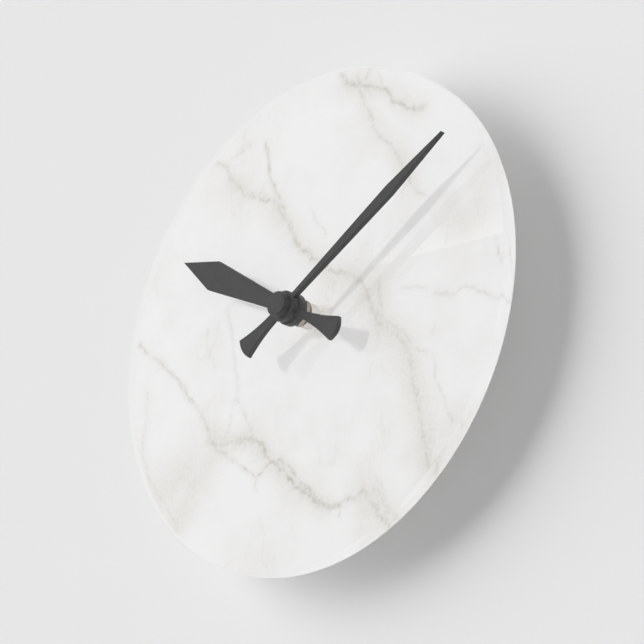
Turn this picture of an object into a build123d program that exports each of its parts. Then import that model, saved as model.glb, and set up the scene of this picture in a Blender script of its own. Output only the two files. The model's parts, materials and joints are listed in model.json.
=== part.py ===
from build123d import *
import os
from math import atan2, cos, degrees, pi, radians, sin

# A round acrylic wall clock, in millimetres.
#
# Every piece is drawn in the clock's own face plane: x to the right, y up the wall
# and z out from the wall, with the hand axis at x = y = 0 and the wall at z = 0.
# save() stands the piece up, so that in the finished model X is to the right, Z is
# up and the wall lies at Y = 0 with the dial in front of it, towards -Y.

# ---------------------------------------------------------------- driving sizes

# Dial: a clear disc with the picture printed on a film behind it.
DIAL_DIAMETER = 203.2
DIAL_THICKNESS = 6.35
DIAL_EDGE = 0.4               # polished bevel round both edges
PRINT_THICKNESS = 0.2
PRINT_INSET = 0.3             # film stops this far inside the dial's rim

# Shaft stack through the middle of the dial.
BUSH_RADIUS = 4.0
BUSH_HOLE_CLEARANCE = 0.2
BUSH_FLANGE_RADIUS = 5.2
BUSH_FLANGE_THICKNESS = 1.3
BUSH_STICKS_OUT = 0.7         # bush end beyond the nut
HANGER_THICKNESS = 1.0
GASKET_RADIUS = 12.0
GASKET_THICKNESS = 1.5
SPACER_RADIUS = 5.0
SPACER_THICKNESS = 4.65
WASHER_RADIUS = 5.3
WASHER_THICKNESS = 0.5
NUT_ACROSS_FLATS = 10.0
NUT_THICKNESS = 2.2
NUT_TURN = 27.0               # where its first corner stands
NUT_CHAMFER = 0.35

# Hands.
HOUR_ANGLE = 302.8            # clockwise from twelve
HOUR_GAP = 1.6                # nut to hour hub
HOUR_HUB_RADIUS = 6.5
HOUR_HUB_THICKNESS = 3.0
HOUR_THICKNESS = 2.0
HOUR_LENGTH = 69.0
HOUR_SHOULDER = 49.4          # distance of the widest place from the axis
HOUR_SHOULDER_WIDTH = 12.0
HOUR_ROOT_WIDTH = 3.9
HOUR_TAIL = 30.0
HOUR_TAIL_CORNER = 28.0
HOUR_TAIL_WIDTH = 9.7
HOUR_TAIL_NECK = 14.0         # distance of the tail's neck from the axis
HOUR_TAIL_NECK_WIDTH = 4.2
HOUR_TAIL_ROOT_WIDTH = 3.4

MINUTE_ANGLE = 61.6
HAND_GAP = 1.5                # hour hand to minute hand
MINUTE_HUB_RADIUS = 6.15
MINUTE_THICKNESS = 2.0
MINUTE_LENGTH = 95.7
MINUTE_SHOULDER = 64.0
MINUTE_SHOULDER_WIDTH = 4.8
MINUTE_ROOT_WIDTH = 2.0
MINUTE_TIP_WIDTH = 0.6
MINUTE_TAIL = 25.0
MINUTE_TAIL_CORNER = 24.0
MINUTE_TAIL_WIDTH = 9.3
MINUTE_TAIL_NECK = 14.0
MINUTE_TAIL_NECK_WIDTH = 4.8
MINUTE_TAIL_ROOT_WIDTH = 3.9

CAP_RADIUS = 4.95
CAP_THICKNESS = 3.6
CAP_ROUNDING = 0.5
CAP_SKIN = 1.2                # solid front of the cap, in front of the shaft end
ARBOR_SHORT = 1.0             # seconds arbor ends this far behind the cap's skin

# Nested shafts. Each turns in the next with RUNNING clearance.
RUNNING = 0.05
ARBOR_RADIUS = 0.5
CANNON_RADIUS = 1.4
HOUR_TUBE_WALL = 1.05
SHAFT_IN_CAP = 2.0
HOUR_TUBE_SHORT = 0.3         # hour tube ends this far behind the hour hand's front

# Battery, a size AA cell lying across the bottom of the case.
CELL_RADIUS = 7.1
CELL_LENGTH = 49.0
TERMINAL_RADIUS = 2.75
TERMINAL_LENGTH = 1.5
CELL_EDGE = 0.6
CELL_SEAT = 0.2               # cell to the bottom of its bay
CELL_SIDE = 0.6               # cell to the bay's long walls
CELL_BEHIND = 0.8             # cell to the wall of the room
SPRING_ROOM = 2.0             # case wall to the cell's flat end
PLUS_ROOM = 0.9               # case wall to the cell's terminal
CONTACT_THICKNESS = 0.3
CONTACT_WIDTH = 6.0
CONTACT_GAP = 0.05
CONTACT_ON_BOARD = 3.0        # strip ends this far over the board
DIMPLE_RADIUS = 1.65

# Movement case.
CASE_WALL = 1.3
CASE_CORNER = 3.0
CASE_EDGE = 0.6
AXIS_TO_PARTITION = 10.0
PARTITION = 1.0
AXIS_TO_ROOF = 26.7           # hand axis to the inside of the top wall
COVER_THICKNESS = 1.5
COVER_CLEARANCE = 0.1
LATCH_LENGTH = 6.0
LATCH_REACH = 0.8
LATCH_HEIGHT = 6.0            # height of the latches above the hand axis
FINGER_NOTCH_RADIUS = 8.0
POST_RADIUS = 1.5
POST_INSET = 2.4              # cover posts from the inside corners
PLATE_POST_INSET = 2.1        # plate posts from the plate's edges
BOARD_POST_INSET = 3.0        # left board post from the board's end
BOARD_POST_TO_WALL = 4.5      # right board post from the case wall

# Hanger.
HANGER_WIDTH = 28.0
HANGER_BELOW_AXIS = 9.0
HANGER_TAB_WIDTH = 20.0
HANGER_TAB_LENGTH = 17.5
HANGER_TAB_CORNER = 4.0
HANGER_CLEARANCE = 0.5        # riser to the top of the case
HANGER_TAB_FRONT = 6.0        # depth of the tab's front face
HANGER_BEND = 0.5             # inside radius of its bends
HANGING_HOLE_RADIUS = 4.0
HANGING_HOLE_RISE = 10.0      # hole above the case top

# Gears: module, wheel teeth, pinion teeth, and the direction of each next arbor.
ADDENDUM = 0.75               # of the module
DEDENDUM = 1.1
TOOTH_ROOT = 0.46             # width at the root, of the pitch
TOOTH_TIP = 0.18
SECONDS_MODULE, SECONDS_TEETH, INTERMEDIATE_PINION_TEETH = 0.24, 60, 10
ROTOR_MODULE, INTERMEDIATE_TEETH, ROTOR_PINION_TEETH = 0.22, 50, 10
THIRD_MODULE, THIRD_TEETH, SECONDS_PINION_TEETH = 0.24, 60, 8
CENTRE_TEETH, THIRD_PINION_TEETH = 64, 8
MOTION_MODULE, MINUTE_TEETH, CANNON_TEETH = 0.3, 36, 12
HOUR_TEETH, MINUTE_PINION_TEETH = 40, 10
INTERMEDIATE_DIRECTION = 170.0
ROTOR_DIRECTION = 125.0
THIRD_DIRECTION = 45.0
MINUTE_WHEEL_DIRECTION = -20.0
KNOB_DIRECTION = 0.0
PIVOT_RADIUS = 0.3
STAFF_RADIUS = 0.5            # pivots of the minute wheel and the setting knob
BOSS_WALL = 0.45
SECONDS_HUB_RADIUS = 0.65
STAFF_HUB_RADIUS = 1.0
PIVOT_HUB_RADIUS = 0.6

# Levels of the movement, measured back from the inside of the case front.
HOUR_WHEEL = (2.6, 1.8)
MINUTE_PINION = (3.2, 1.4)
MINUTE_WHEEL = (4.4, 3.6)
CANNON_PINION = (4.8, 3.0)
TRAIN_PLATE = (6.4, 5.4)
CANNON_SHOULDER = 7.3
CLUTCH = (7.9, 7.5)
CENTRE_WHEEL = (8.8, 8.0)
CANNON_FOOT = 9.0
THIRD_PINION = (9.6, 7.0)
THIRD_WHEEL = (10.8, 10.0)
SECONDS_PINION = (11.3, 9.3)
SECONDS_WHEEL = (12.6, 11.8)
INTERMEDIATE_WHEEL = (11.0, 10.2)
INTERMEDIATE_PINION = (12.9, 11.4)
ROTOR_PINION = (11.2, 9.9)
MAGNET = (9.3, 6.8)
STATOR = (8.6, 7.8)
COIL_CORE = (7.8, 7.0)
BOARD = (10.2, 9.2)
BOSS_TOP = 13.3
PIVOT_DEPTH = 0.9             # pivot end inside its boss
STAFF_BOSS = 0.9              # bosses under the case front

CANNON_SHOULDER_RADIUS = 1.5
CANNON_FOOT_RADIUS = 1.0
CLUTCH_RADIUS = 4.5
CLUTCH_HUB_RADIUS = 1.9
CLUTCH_ARM_WIDTH = 1.0
CLUTCH_ARMS = 3

# Stepping motor and its circuit.
MAGNET_RADIUS = 3.0
MAGNET_GAP = 0.4
STATOR_RING = 5.0
STATOR_ARM = 3.0
COIL_LENGTH = 16.0
COIL_FLANGE_RADIUS = 3.5
COIL_FLANGE = 0.8
COIL_TUBE_RADIUS = 2.2
COIL_WINDING_RADIUS = 3.1
COIL_BELOW_ROOF = 5.7
COIL_FOOT = 1.9               # stator legs from the bobbin's ends
BOARD_GAP = 0.8               # board to the third wheel
BOARD_LEFT = 1.5
CRYSTAL_RADIUS = 1.0
CRYSTAL_LENGTH = 6.0
BLOB_RADIUS = 3.0
BLOB_HEIGHT = 1.2
CAPACITOR = (2.0, 1.2, 0.8)

# Setting knob.
KNOB_RADIUS = 4.5
KNOB_THICKNESS = 2.3
KNOB_BEHIND = 0.5             # knob to the wall of the room
KNOB_WELL_CLEARANCE = 0.7
KNOB_WELL_WALL = 0.9
KNOB_STEM_RADIUS = 1.0
KNOB_RIBS = 24

# -------------------------------------------------------------- worked-out sizes

dial_radius = DIAL_DIAMETER / 2
bush_hole_radius = BUSH_RADIUS + BUSH_HOLE_CLEARANCE
arbor_hole_radius = ARBOR_RADIUS + RUNNING
pivot_hole_radius = PIVOT_RADIUS + RUNNING
staff_hole_radius = STAFF_RADIUS + RUNNING
hour_bore_radius = CANNON_RADIUS + RUNNING
hour_tube_radius = hour_bore_radius + HOUR_TUBE_WALL
bush_bore_radius = hour_tube_radius + RUNNING

case_depth = CASE_WALL + CELL_SEAT + 2 * CELL_RADIUS + CELL_BEHIND
floor = case_depth - CASE_WALL
room = (CELL_LENGTH + TERMINAL_LENGTH + SPRING_ROOM + PLUS_ROOM) / 2
bay_top = -AXIS_TO_PARTITION - PARTITION
cell_height = bay_top - CELL_SIDE - CELL_RADIUS
bay_bottom = cell_height - CELL_RADIUS - CELL_SIDE
cell_depth = floor - CELL_SEAT - CELL_RADIUS
case_top = AXIS_TO_ROOF + CASE_WALL
case_bottom = bay_bottom - CASE_WALL

hanger_back = case_depth
gasket_back = hanger_back + HANGER_THICKNESS
print_back = gasket_back + GASKET_THICKNESS
dial_back = print_back + PRINT_THICKNESS
dial_front = dial_back + DIAL_THICKNESS
washer_back = dial_front + SPACER_THICKNESS
nut_back = washer_back + WASHER_THICKNESS
nut_front = nut_back + NUT_THICKNESS
hour_back = nut_front + HOUR_GAP
hour_front = hour_back + HOUR_HUB_THICKNESS
minute_back = hour_front + HAND_GAP
cap_back = minute_back + MINUTE_THICKNESS
cap_front = cap_back + CAP_THICKNESS
cannon_end = cap_back + SHAFT_IN_CAP
cap_bottom = cap_front - CAP_SKIN

BASE = (Align.CENTER, Align.CENTER, Align.MIN)


def level(pair):
    """Turn a level below the case front into depths from the wall."""
    return floor - pair[0], floor - pair[1]


def away(start, distance, direction):
    """The point at a distance and a direction in degrees from another point."""
    turn = radians(direction)
    return start[0] + distance * cos(turn), start[1] + distance * sin(turn)


def centres(module, teeth, mate_teeth):
    """Distance between the arbors of two gears in mesh."""
    return module * (teeth + mate_teeth) / 2


axis = (0.0, 0.0)
intermediate = away(axis, centres(SECONDS_MODULE, SECONDS_TEETH, INTERMEDIATE_PINION_TEETH),
                    INTERMEDIATE_DIRECTION)
rotor = away(intermediate, centres(ROTOR_MODULE, INTERMEDIATE_TEETH, ROTOR_PINION_TEETH),
             ROTOR_DIRECTION)
third_distance = centres(THIRD_MODULE, THIRD_TEETH, SECONDS_PINION_TEETH)
third = away(axis, third_distance, THIRD_DIRECTION)
centre_module = 2 * third_distance / (CENTRE_TEETH + THIRD_PINION_TEETH)
minute_distance = centres(MOTION_MODULE, MINUTE_TEETH, CANNON_TEETH)
minute_arbor = away(axis, minute_distance, MINUTE_WHEEL_DIRECTION)
hour_module = 2 * minute_distance / (HOUR_TEETH + MINUTE_PINION_TEETH)
knob = away(minute_arbor, minute_distance, KNOB_DIRECTION)
third_tip = THIRD_MODULE * (THIRD_TEETH / 2 + ADDENDUM)
board_low = third[1] + third_tip + BOARD_GAP
coil_height = AXIS_TO_ROOF - COIL_BELOW_ROOF
coil_middle = rotor[0]
coil_depth = sum(level(COIL_CORE)) / 2
foot_offset = COIL_LENGTH / 2 + COIL_FOOT
knee_height = coil_height - COIL_FLANGE_RADIUS - STATOR_ARM
board_middle = (board_low + AXIS_TO_ROOF) / 2


# ------------------------------------------------------------------ plain shapes

def disc(radius, low, high, at=axis):
    """A round bar along the hand axis, between two depths."""
    return Pos(at[0], at[1], low) * Cylinder(radius, high - low, align=BASE)


def ring(outer, inner, low, high, at=axis):
    """A round bar with a hole."""
    return disc(outer, low, high, at) - disc(inner, low, high, at)


def block(left, right, bottom, top, low, high):
    """A square block between two places in each direction."""
    corner = (Align.MIN, Align.MIN, Align.MIN)
    return Pos(left, bottom, low) * Box(right - left, top - bottom, high - low, align=corner)


def bar(start, end, width, low, high):
    """A flat bar with round ends, from one point to another."""
    run = Vector(*end) - Vector(*start)
    middle = (Vector(*end) + Vector(*start)) / 2
    turn = degrees(atan2(run.Y, run.X))
    strip = Pos(middle.X, middle.Y, low) * Rot(0, 0, turn) * Box(run.length, width, high - low,
                                                                 align=BASE)
    return strip + disc(width / 2, low, high, start) + disc(width / 2, low, high, end)


def both_sides(inner, outer, bottom, top, low, high):
    """Two square blocks, the same distance left and right of the hand axis."""
    return (block(inner, outer, bottom, top, low, high)
            + block(-outer, -inner, bottom, top, low, high))


def save(name, shape):
    """Stand the piece up against the wall and write it."""
    export_step(Plane.XZ * shape, f"parts/{name}.step")


# ------------------------------------------------------------------------- gears

def mate_phase(phase, teeth, direction, mate_teeth):
    """Where a mating gear's tooth stands, so that it lies in the first gear's gap."""
    offset = (phase - direction) * teeth / 360
    return direction + 180 - (offset + 0.5) * 360 / mate_teeth


def gear(module, teeth, phase, at, low, high):
    """A spur gear with straight-sided teeth; one tooth stands at the phase angle."""
    pitch = 360 / teeth
    root = module * (teeth / 2 - DEDENDUM)
    tip = module * (teeth / 2 + ADDENDUM)
    corners = []
    for tooth in range(teeth):
        for radius, share in ((root, -TOOTH_ROOT / 2), (tip, -TOOTH_TIP / 2),
                              (tip, TOOTH_TIP / 2), (root, TOOTH_ROOT / 2)):
            corners.append(away(at, radius, phase + (tooth + share) * pitch))
    outline = make_face(Polyline(*corners, close=True))
    return extrude(Pos(0, 0, low) * outline, high - low)


def wheel(module, teeth, phase, at, where):
    """A gear at one of the movement's levels."""
    low, high = level(where)
    return gear(module, teeth, phase, at, low, high)


intermediate_pinion_phase = mate_phase(0, SECONDS_TEETH, INTERMEDIATE_DIRECTION,
                                       INTERMEDIATE_PINION_TEETH)
rotor_pinion_phase = mate_phase(0, INTERMEDIATE_TEETH, ROTOR_DIRECTION, ROTOR_PINION_TEETH)
third_phase = mate_phase(0, SECONDS_PINION_TEETH, THIRD_DIRECTION, THIRD_TEETH)
centre_phase = mate_phase(0, THIRD_PINION_TEETH, THIRD_DIRECTION + 180, CENTRE_TEETH)
minute_wheel_phase = mate_phase(0, CANNON_TEETH, MINUTE_WHEEL_DIRECTION, MINUTE_TEETH)
hour_wheel_phase = mate_phase(0, MINUTE_PINION_TEETH, MINUTE_WHEEL_DIRECTION + 180, HOUR_TEETH)
knob_phase = mate_phase(minute_wheel_phase, MINUTE_TEETH, KNOB_DIRECTION, CANNON_TEETH)


# -------------------------------------------------------------------------- dial

def dial_acrylic():
    """Clear acrylic disc with polished, slightly bevelled edges."""
    body = disc(dial_radius, dial_back, dial_front)
    body = chamfer(body.edges(), DIAL_EDGE)
    return body - disc(bush_hole_radius, dial_back, dial_front)


def dial_print():
    return ring(dial_radius - DIAL_EDGE - PRINT_INSET, bush_hole_radius, print_back, dial_back)


def dial_gasket():
    return ring(GASKET_RADIUS, bush_hole_radius, gasket_back, print_back)


def spacer_ring():
    return ring(SPACER_RADIUS, bush_hole_radius, dial_front, washer_back)


def flat_washer():
    return ring(WASHER_RADIUS, bush_hole_radius, washer_back, nut_back)


def hex_nut():
    """Thin nut with its corners turned down at both faces."""
    corner = NUT_ACROSS_FLATS / 2 / cos(pi / 6)
    body = extrude(Pos(0, 0, nut_back) * RegularPolygon(corner, 6, rotation=NUT_TURN),
                   NUT_THICKNESS)
    turned = chamfer(disc(corner, nut_back, nut_front).edges(), NUT_CHAMFER)
    return (body & turned) - disc(BUSH_RADIUS, nut_back, nut_front)


# ------------------------------------------------------------------------- hands

def hand_tail(root_width, neck, neck_width, corner, width, end):
    """A fan-shaped tail, below the axis, with hollow sides and a round end."""
    left = ThreePointArc((-root_width / 2, 0), (-neck_width / 2, -neck), (-width / 2, -corner))
    right = mirror(left, Plane.YZ)
    foot = ThreePointArc((-width / 2, -corner), (0, -end), (width / 2, -corner))
    return make_face([left, foot, right, Line(left @ 0, right @ 0)])


def hour_hand():
    """Broad lance with a hub; the hub reaches back round the hour tube."""
    root, widest = HOUR_ROOT_WIDTH / 2, HOUR_SHOULDER_WIDTH / 2
    blade = make_face(Polyline((-root, 0), (-widest, HOUR_SHOULDER), (0, HOUR_LENGTH),
                               (widest, HOUR_SHOULDER), (root, 0), close=True))
    tail = hand_tail(HOUR_TAIL_ROOT_WIDTH, HOUR_TAIL_NECK, HOUR_TAIL_NECK_WIDTH,
                     HOUR_TAIL_CORNER, HOUR_TAIL_WIDTH, HOUR_TAIL)
    flat = extrude(Pos(0, 0, hour_front - HOUR_THICKNESS) * (blade + tail), HOUR_THICKNESS)
    body = flat + disc(HOUR_HUB_RADIUS, hour_back, hour_front)
    return Rot(0, 0, -HOUR_ANGLE) * (body - disc(hour_tube_radius, hour_back, hour_front))


def minute_hand():
    """Slim lance with a flat hub."""
    root, widest, tip = MINUTE_ROOT_WIDTH / 2, MINUTE_SHOULDER_WIDTH / 2, MINUTE_TIP_WIDTH / 2
    blade = make_face(Polyline((-root, 0), (-widest, MINUTE_SHOULDER), (-tip, MINUTE_LENGTH),
                               (tip, MINUTE_LENGTH), (widest, MINUTE_SHOULDER), (root, 0),
                               close=True))
    tail = hand_tail(MINUTE_TAIL_ROOT_WIDTH, MINUTE_TAIL_NECK, MINUTE_TAIL_NECK_WIDTH,
                     MINUTE_TAIL_CORNER, MINUTE_TAIL_WIDTH, MINUTE_TAIL)
    flat = extrude(Pos(0, 0, minute_back) * (blade + tail), MINUTE_THICKNESS)
    body = flat + disc(MINUTE_HUB_RADIUS, minute_back, cap_back)
    return Rot(0, 0, -MINUTE_ANGLE) * (body - disc(CANNON_RADIUS, minute_back, cap_back))


def hand_cap():
    """Closed cap nut on the end of the minute shaft."""
    body = disc(CAP_RADIUS, cap_back, cap_front)
    body = fillet(body.edges().group_by(Axis.Z)[-1], CAP_ROUNDING)
    return body - disc(CANNON_RADIUS, cap_back, cap_bottom)


# -------------------------------------------------------------------------- case

def posts():
    """Middles of the four posts that carry the rear cover."""
    across = room - POST_INSET
    low = -AXIS_TO_PARTITION + POST_INSET
    high = AXIS_TO_ROOF - POST_INSET
    return [(-across, low), (across, low), (-across, high), (across, high)]


def board_posts():
    """Middles of the two posts that carry the circuit board."""
    return [(BOARD_LEFT + BOARD_POST_INSET, board_middle),
            (room - BOARD_POST_TO_WALL, board_low + POST_RADIUS)]


def plate_posts():
    """Middles of the three posts that carry the train plate."""
    left, right, low, high = train_plate_edges()
    inset = PLATE_POST_INSET
    return [(left + inset, low + inset), (right - inset, low + inset), (left + inset, high - inset)]


def stator_posts():
    """Middles of the two posts that carry the stator, one on each leg."""
    return [(coil_middle + side * foot_offset, knee_height + POST_RADIUS) for side in (-1, 1)]


def case_front():
    """Deep tray, open at the back, with the battery bay across the bottom."""
    outer = block(-room - CASE_WALL, room + CASE_WALL, case_bottom, case_top, 0, case_depth)
    outer = fillet(outer.edges().filter_by(Axis.Z), CASE_CORNER)
    outer = chamfer(outer.edges().group_by(Axis.Z)[-1], CASE_EDGE)
    body = outer - block(-room, room, bay_bottom, bay_top, 0, floor)
    body -= block(-room, room, -AXIS_TO_PARTITION, AXIS_TO_ROOF, 0, floor)
    body -= both_sides(room - CONTACT_THICKNESS, room, bay_top, -AXIS_TO_PARTITION,
                       0, cell_depth + CONTACT_WIDTH / 2)
    body -= both_sides(room, room + LATCH_REACH + COVER_CLEARANCE,
                       LATCH_HEIGHT - COVER_CLEARANCE,
                       LATCH_HEIGHT + LATCH_LENGTH + COVER_CLEARANCE, 0, COVER_THICKNESS)
    notch = Pos(0, case_bottom, 0) * Rot(-90, 0, 0) * Cylinder(FINGER_NOTCH_RADIUS, CASE_WALL,
                                                               align=BASE)
    body -= notch
    for at in posts():
        body += disc(POST_RADIUS, COVER_THICKNESS, floor, at)
    for at in board_posts():
        body += disc(POST_RADIUS, level(BOARD)[1], floor, at)
    for at in stator_posts():
        body += disc(POST_RADIUS, level(STATOR)[1], floor, at)
    for at in plate_posts():
        body += disc(POST_RADIUS, level(TRAIN_PLATE)[1], floor, at)
    for at in (minute_arbor, knob):
        body += disc(staff_hole_radius + BOSS_WALL, floor - STAFF_BOSS, floor, at)
        body -= disc(staff_hole_radius, floor - STAFF_BOSS, floor, at)
    return body - disc(BUSH_RADIUS, floor, case_depth)


def threaded_bush():
    """Brass bush that clamps case, hanger and dial together under the nut."""
    top = nut_front + BUSH_STICKS_OUT
    body = disc(BUSH_FLANGE_RADIUS, floor - BUSH_FLANGE_THICKNESS, floor)
    body += disc(BUSH_RADIUS, floor, top)
    return body - disc(bush_bore_radius, floor - BUSH_FLANGE_THICKNESS, top)


well_radius = KNOB_RADIUS + KNOB_WELL_CLEARANCE
well_floor = KNOB_BEHIND + KNOB_THICKNESS + KNOB_BEHIND


def rear_cover():
    """Snap-in cover over the train, with a well for the setting knob."""
    gap = COVER_CLEARANCE
    body = block(-room + gap, room - gap, -AXIS_TO_PARTITION + gap, AXIS_TO_ROOF - gap,
                 0, COVER_THICKNESS)
    body += both_sides(room - LATCH_REACH, room + LATCH_REACH, LATCH_HEIGHT,
                       LATCH_HEIGHT + LATCH_LENGTH, 0, COVER_THICKNESS - gap)
    body += disc(well_radius + KNOB_WELL_WALL, 0, well_floor + KNOB_WELL_WALL, knob)
    body -= disc(well_radius, 0, well_floor, knob)
    body -= disc(KNOB_STEM_RADIUS + RUNNING, well_floor, well_floor + KNOB_WELL_WALL, knob)
    for at, hole in ((axis, arbor_hole_radius), (intermediate, pivot_hole_radius),
                     (rotor, pivot_hole_radius), (third, pivot_hole_radius)):
        top = floor - BOSS_TOP
        body += disc(hole + BOSS_WALL, 0, top, at)
        body -= disc(hole, top - PIVOT_DEPTH - RUNNING, top, at)
    return body


def train_plate_edges():
    """Left, right, low and high edges of the plate that carries the train."""
    left = rotor[0] - MAGNET_RADIUS - STATOR_RING
    right = knob[0] + well_radius
    return left, right, -AXIS_TO_PARTITION + BOARD_GAP, board_low


def train_plate():
    left, right, low, high = train_plate_edges()
    back, front = level(TRAIN_PLATE)
    body = block(left, right, low, high, back, front)
    body -= disc(CANNON_SHOULDER_RADIUS + RUNNING, back, front)
    for at in (intermediate, rotor, third):
        body -= disc(pivot_hole_radius, back, front, at)
    body -= disc(staff_hole_radius, back, front, minute_arbor)
    return body - disc(KNOB_STEM_RADIUS + RUNNING, back, front, knob)


def hanger_plate():
    """Steel strap under the gasket, stepped back over the case to a tab with a hole."""
    riser = case_top + HANGER_CLEARANCE
    top = riser + HANGER_TAB_LENGTH
    back, front = hanger_back, hanger_back + HANGER_THICKNESS
    tab_back, tab_front = HANGER_TAB_FRONT - HANGER_THICKNESS, HANGER_TAB_FRONT
    outside_bend = HANGER_BEND + HANGER_THICKNESS
    rear_line = FilletPolyline((-HANGER_BELOW_AXIS, back), (riser, back), (riser, tab_back),
                               (top, tab_back), radius=[HANGER_BEND, outside_bend])
    front_line = FilletPolyline((-HANGER_BELOW_AXIS, front), (riser + HANGER_THICKNESS, front),
                                (riser + HANGER_THICKNESS, tab_front), (top, tab_front),
                                radius=[outside_bend, HANGER_BEND])
    side_view = make_face([rear_line, Line(rear_line @ 1, front_line @ 1), front_line,
                           Line(front_line @ 0, rear_line @ 0)])
    strap = extrude(Plane.YZ * side_view, HANGER_WIDTH / 2, both=True)
    half = HANGER_TAB_WIDTH / 2
    tab = block(-half, half, 0, top, 0, front)
    tab = fillet(tab.edges().filter_by(Axis.Z).group_by(Axis.Y)[-1], HANGER_TAB_CORNER)
    half = HANGER_WIDTH / 2
    foot = block(-half, half, -HANGER_BELOW_AXIS, case_top - HANGER_TAB_CORNER, 0, front)
    body = strap & (tab + foot)
    body -= disc(bush_hole_radius, back, front)
    return body - disc(HANGING_HOLE_RADIUS, tab_back, tab_front, (0, case_top + HANGING_HOLE_RISE))


# ----------------------------------------------------------------- motion works

def cannon_pinion():
    """Minute shaft: pinion, friction shoulder and tube, with the arbor's hole through it."""
    back, front = level(CANNON_PINION)
    body = gear(MOTION_MODULE, CANNON_TEETH, 0, axis, back, front)
    shoulder = floor - CANNON_SHOULDER
    body += disc(CANNON_SHOULDER_RADIUS, shoulder, back)
    body += disc(CANNON_FOOT_RADIUS, floor - CANNON_FOOT, shoulder)
    body += disc(CANNON_RADIUS, front, cannon_end)
    return body - disc(arbor_hole_radius, floor - CANNON_FOOT, cannon_end)


def clutch_spring():
    """Three-armed spring washer between the minute shaft and the centre wheel."""
    back, front = level(CLUTCH)
    body = disc(CLUTCH_HUB_RADIUS, back, front)
    for arm in range(CLUTCH_ARMS):
        tip = away(axis, CLUTCH_RADIUS, 90 + arm * 360 / CLUTCH_ARMS)
        body += bar(axis, tip, CLUTCH_ARM_WIDTH, back, front)
    return body - disc(CANNON_FOOT_RADIUS, back, front)


def minute_wheel():
    """Wheel driven by the cannon pinion, with the pinion that drives the hour wheel."""
    body = wheel(MOTION_MODULE, MINUTE_TEETH, minute_wheel_phase, minute_arbor, MINUTE_WHEEL)
    body += wheel(hour_module, MINUTE_PINION_TEETH, 0, minute_arbor, MINUTE_PINION)
    body += disc(STAFF_HUB_RADIUS, level(MINUTE_WHEEL)[0], level(MINUTE_PINION)[1], minute_arbor)
    return body + disc(STAFF_RADIUS, level(TRAIN_PLATE)[0], floor - RUNNING, minute_arbor)


def hour_wheel():
    """Wheel with the long tube that carries the hour hand."""
    back, front = level(HOUR_WHEEL)
    body = gear(hour_module, HOUR_TEETH, hour_wheel_phase, axis, back, front)
    tube_end = hour_front - HOUR_TUBE_SHORT
    body += disc(hour_tube_radius, back, tube_end)
    return body - disc(hour_bore_radius, back, tube_end)


def setting_knob():
    """Ribbed knob in the rear cover, its stem and the pinion that turns the minute wheel."""
    body = disc(KNOB_RADIUS, KNOB_BEHIND, KNOB_BEHIND + KNOB_THICKNESS, knob)
    rib = pi * KNOB_RADIUS / KNOB_RIBS / 2
    for groove in range(KNOB_RIBS):
        at = away(knob, KNOB_RADIUS + rib / 2, groove * 360 / KNOB_RIBS)
        body -= disc(rib, KNOB_BEHIND, KNOB_BEHIND + KNOB_THICKNESS, at)
    back, front = level(CANNON_PINION)
    body += disc(KNOB_STEM_RADIUS, KNOB_BEHIND, back, knob)
    body += gear(MOTION_MODULE, CANNON_TEETH, knob_phase, knob, back, front)
    return body + disc(STAFF_RADIUS, front, floor - RUNNING, knob)


# ------------------------------------------------------------------ going train

pivot_low = floor - BOSS_TOP - PIVOT_DEPTH
pivot_high = level(TRAIN_PLATE)[1] - RUNNING


def centre_wheel():
    """Wheel that drives the minute shaft through the spring washer."""
    back, front = level(CENTRE_WHEEL)
    body = gear(centre_module, CENTRE_TEETH, centre_phase, axis, back, front)
    return body - disc(CANNON_FOOT_RADIUS + RUNNING, back, front)


def third_wheel():
    body = wheel(THIRD_MODULE, THIRD_TEETH, third_phase, third, THIRD_WHEEL)
    body += wheel(centre_module, THIRD_PINION_TEETH, 0, third, THIRD_PINION)
    return body + disc(PIVOT_RADIUS, pivot_low, pivot_high, third)


def seconds_wheel():
    """Wheel and pinion moulded round the steel arbor."""
    body = wheel(SECONDS_MODULE, SECONDS_TEETH, 0, axis, SECONDS_WHEEL)
    body += wheel(THIRD_MODULE, SECONDS_PINION_TEETH, 0, axis, SECONDS_PINION)
    back, front = level(SECONDS_WHEEL)[0], level(SECONDS_PINION)[1]
    body += disc(SECONDS_HUB_RADIUS, back, front)
    return body - disc(ARBOR_RADIUS, back, front)


def seconds_arbor():
    return disc(ARBOR_RADIUS, pivot_low, cap_bottom - ARBOR_SHORT)


def intermediate_wheel():
    body = wheel(ROTOR_MODULE, INTERMEDIATE_TEETH, 0, intermediate, INTERMEDIATE_WHEEL)
    body += wheel(SECONDS_MODULE, INTERMEDIATE_PINION_TEETH, intermediate_pinion_phase,
                  intermediate, INTERMEDIATE_PINION)
    body += disc(PIVOT_HUB_RADIUS, level(INTERMEDIATE_PINION)[0], level(INTERMEDIATE_WHEEL)[1],
                 intermediate)
    return body + disc(PIVOT_RADIUS, pivot_low, pivot_high, intermediate)


def rotor_magnet():
    back, front = level(MAGNET)
    return ring(MAGNET_RADIUS, PIVOT_HUB_RADIUS, back, front, rotor)


def rotor_pinion():
    """Pinion and staff moulded through the magnet."""
    body = wheel(ROTOR_MODULE, ROTOR_PINION_TEETH, rotor_pinion_phase, rotor, ROTOR_PINION)
    body += disc(PIVOT_HUB_RADIUS, level(ROTOR_PINION)[0], level(MAGNET)[1], rotor)
    return body + disc(PIVOT_RADIUS, pivot_low, pivot_high, rotor)


# ------------------------------------------------- stepping motor and its circuit

def lying(radius, start, end, height, depth):
    """A round bar along x."""
    return Pos(start, height, depth) * Rot(0, 90, 0) * Cylinder(radius, end - start, align=BASE)


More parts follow.
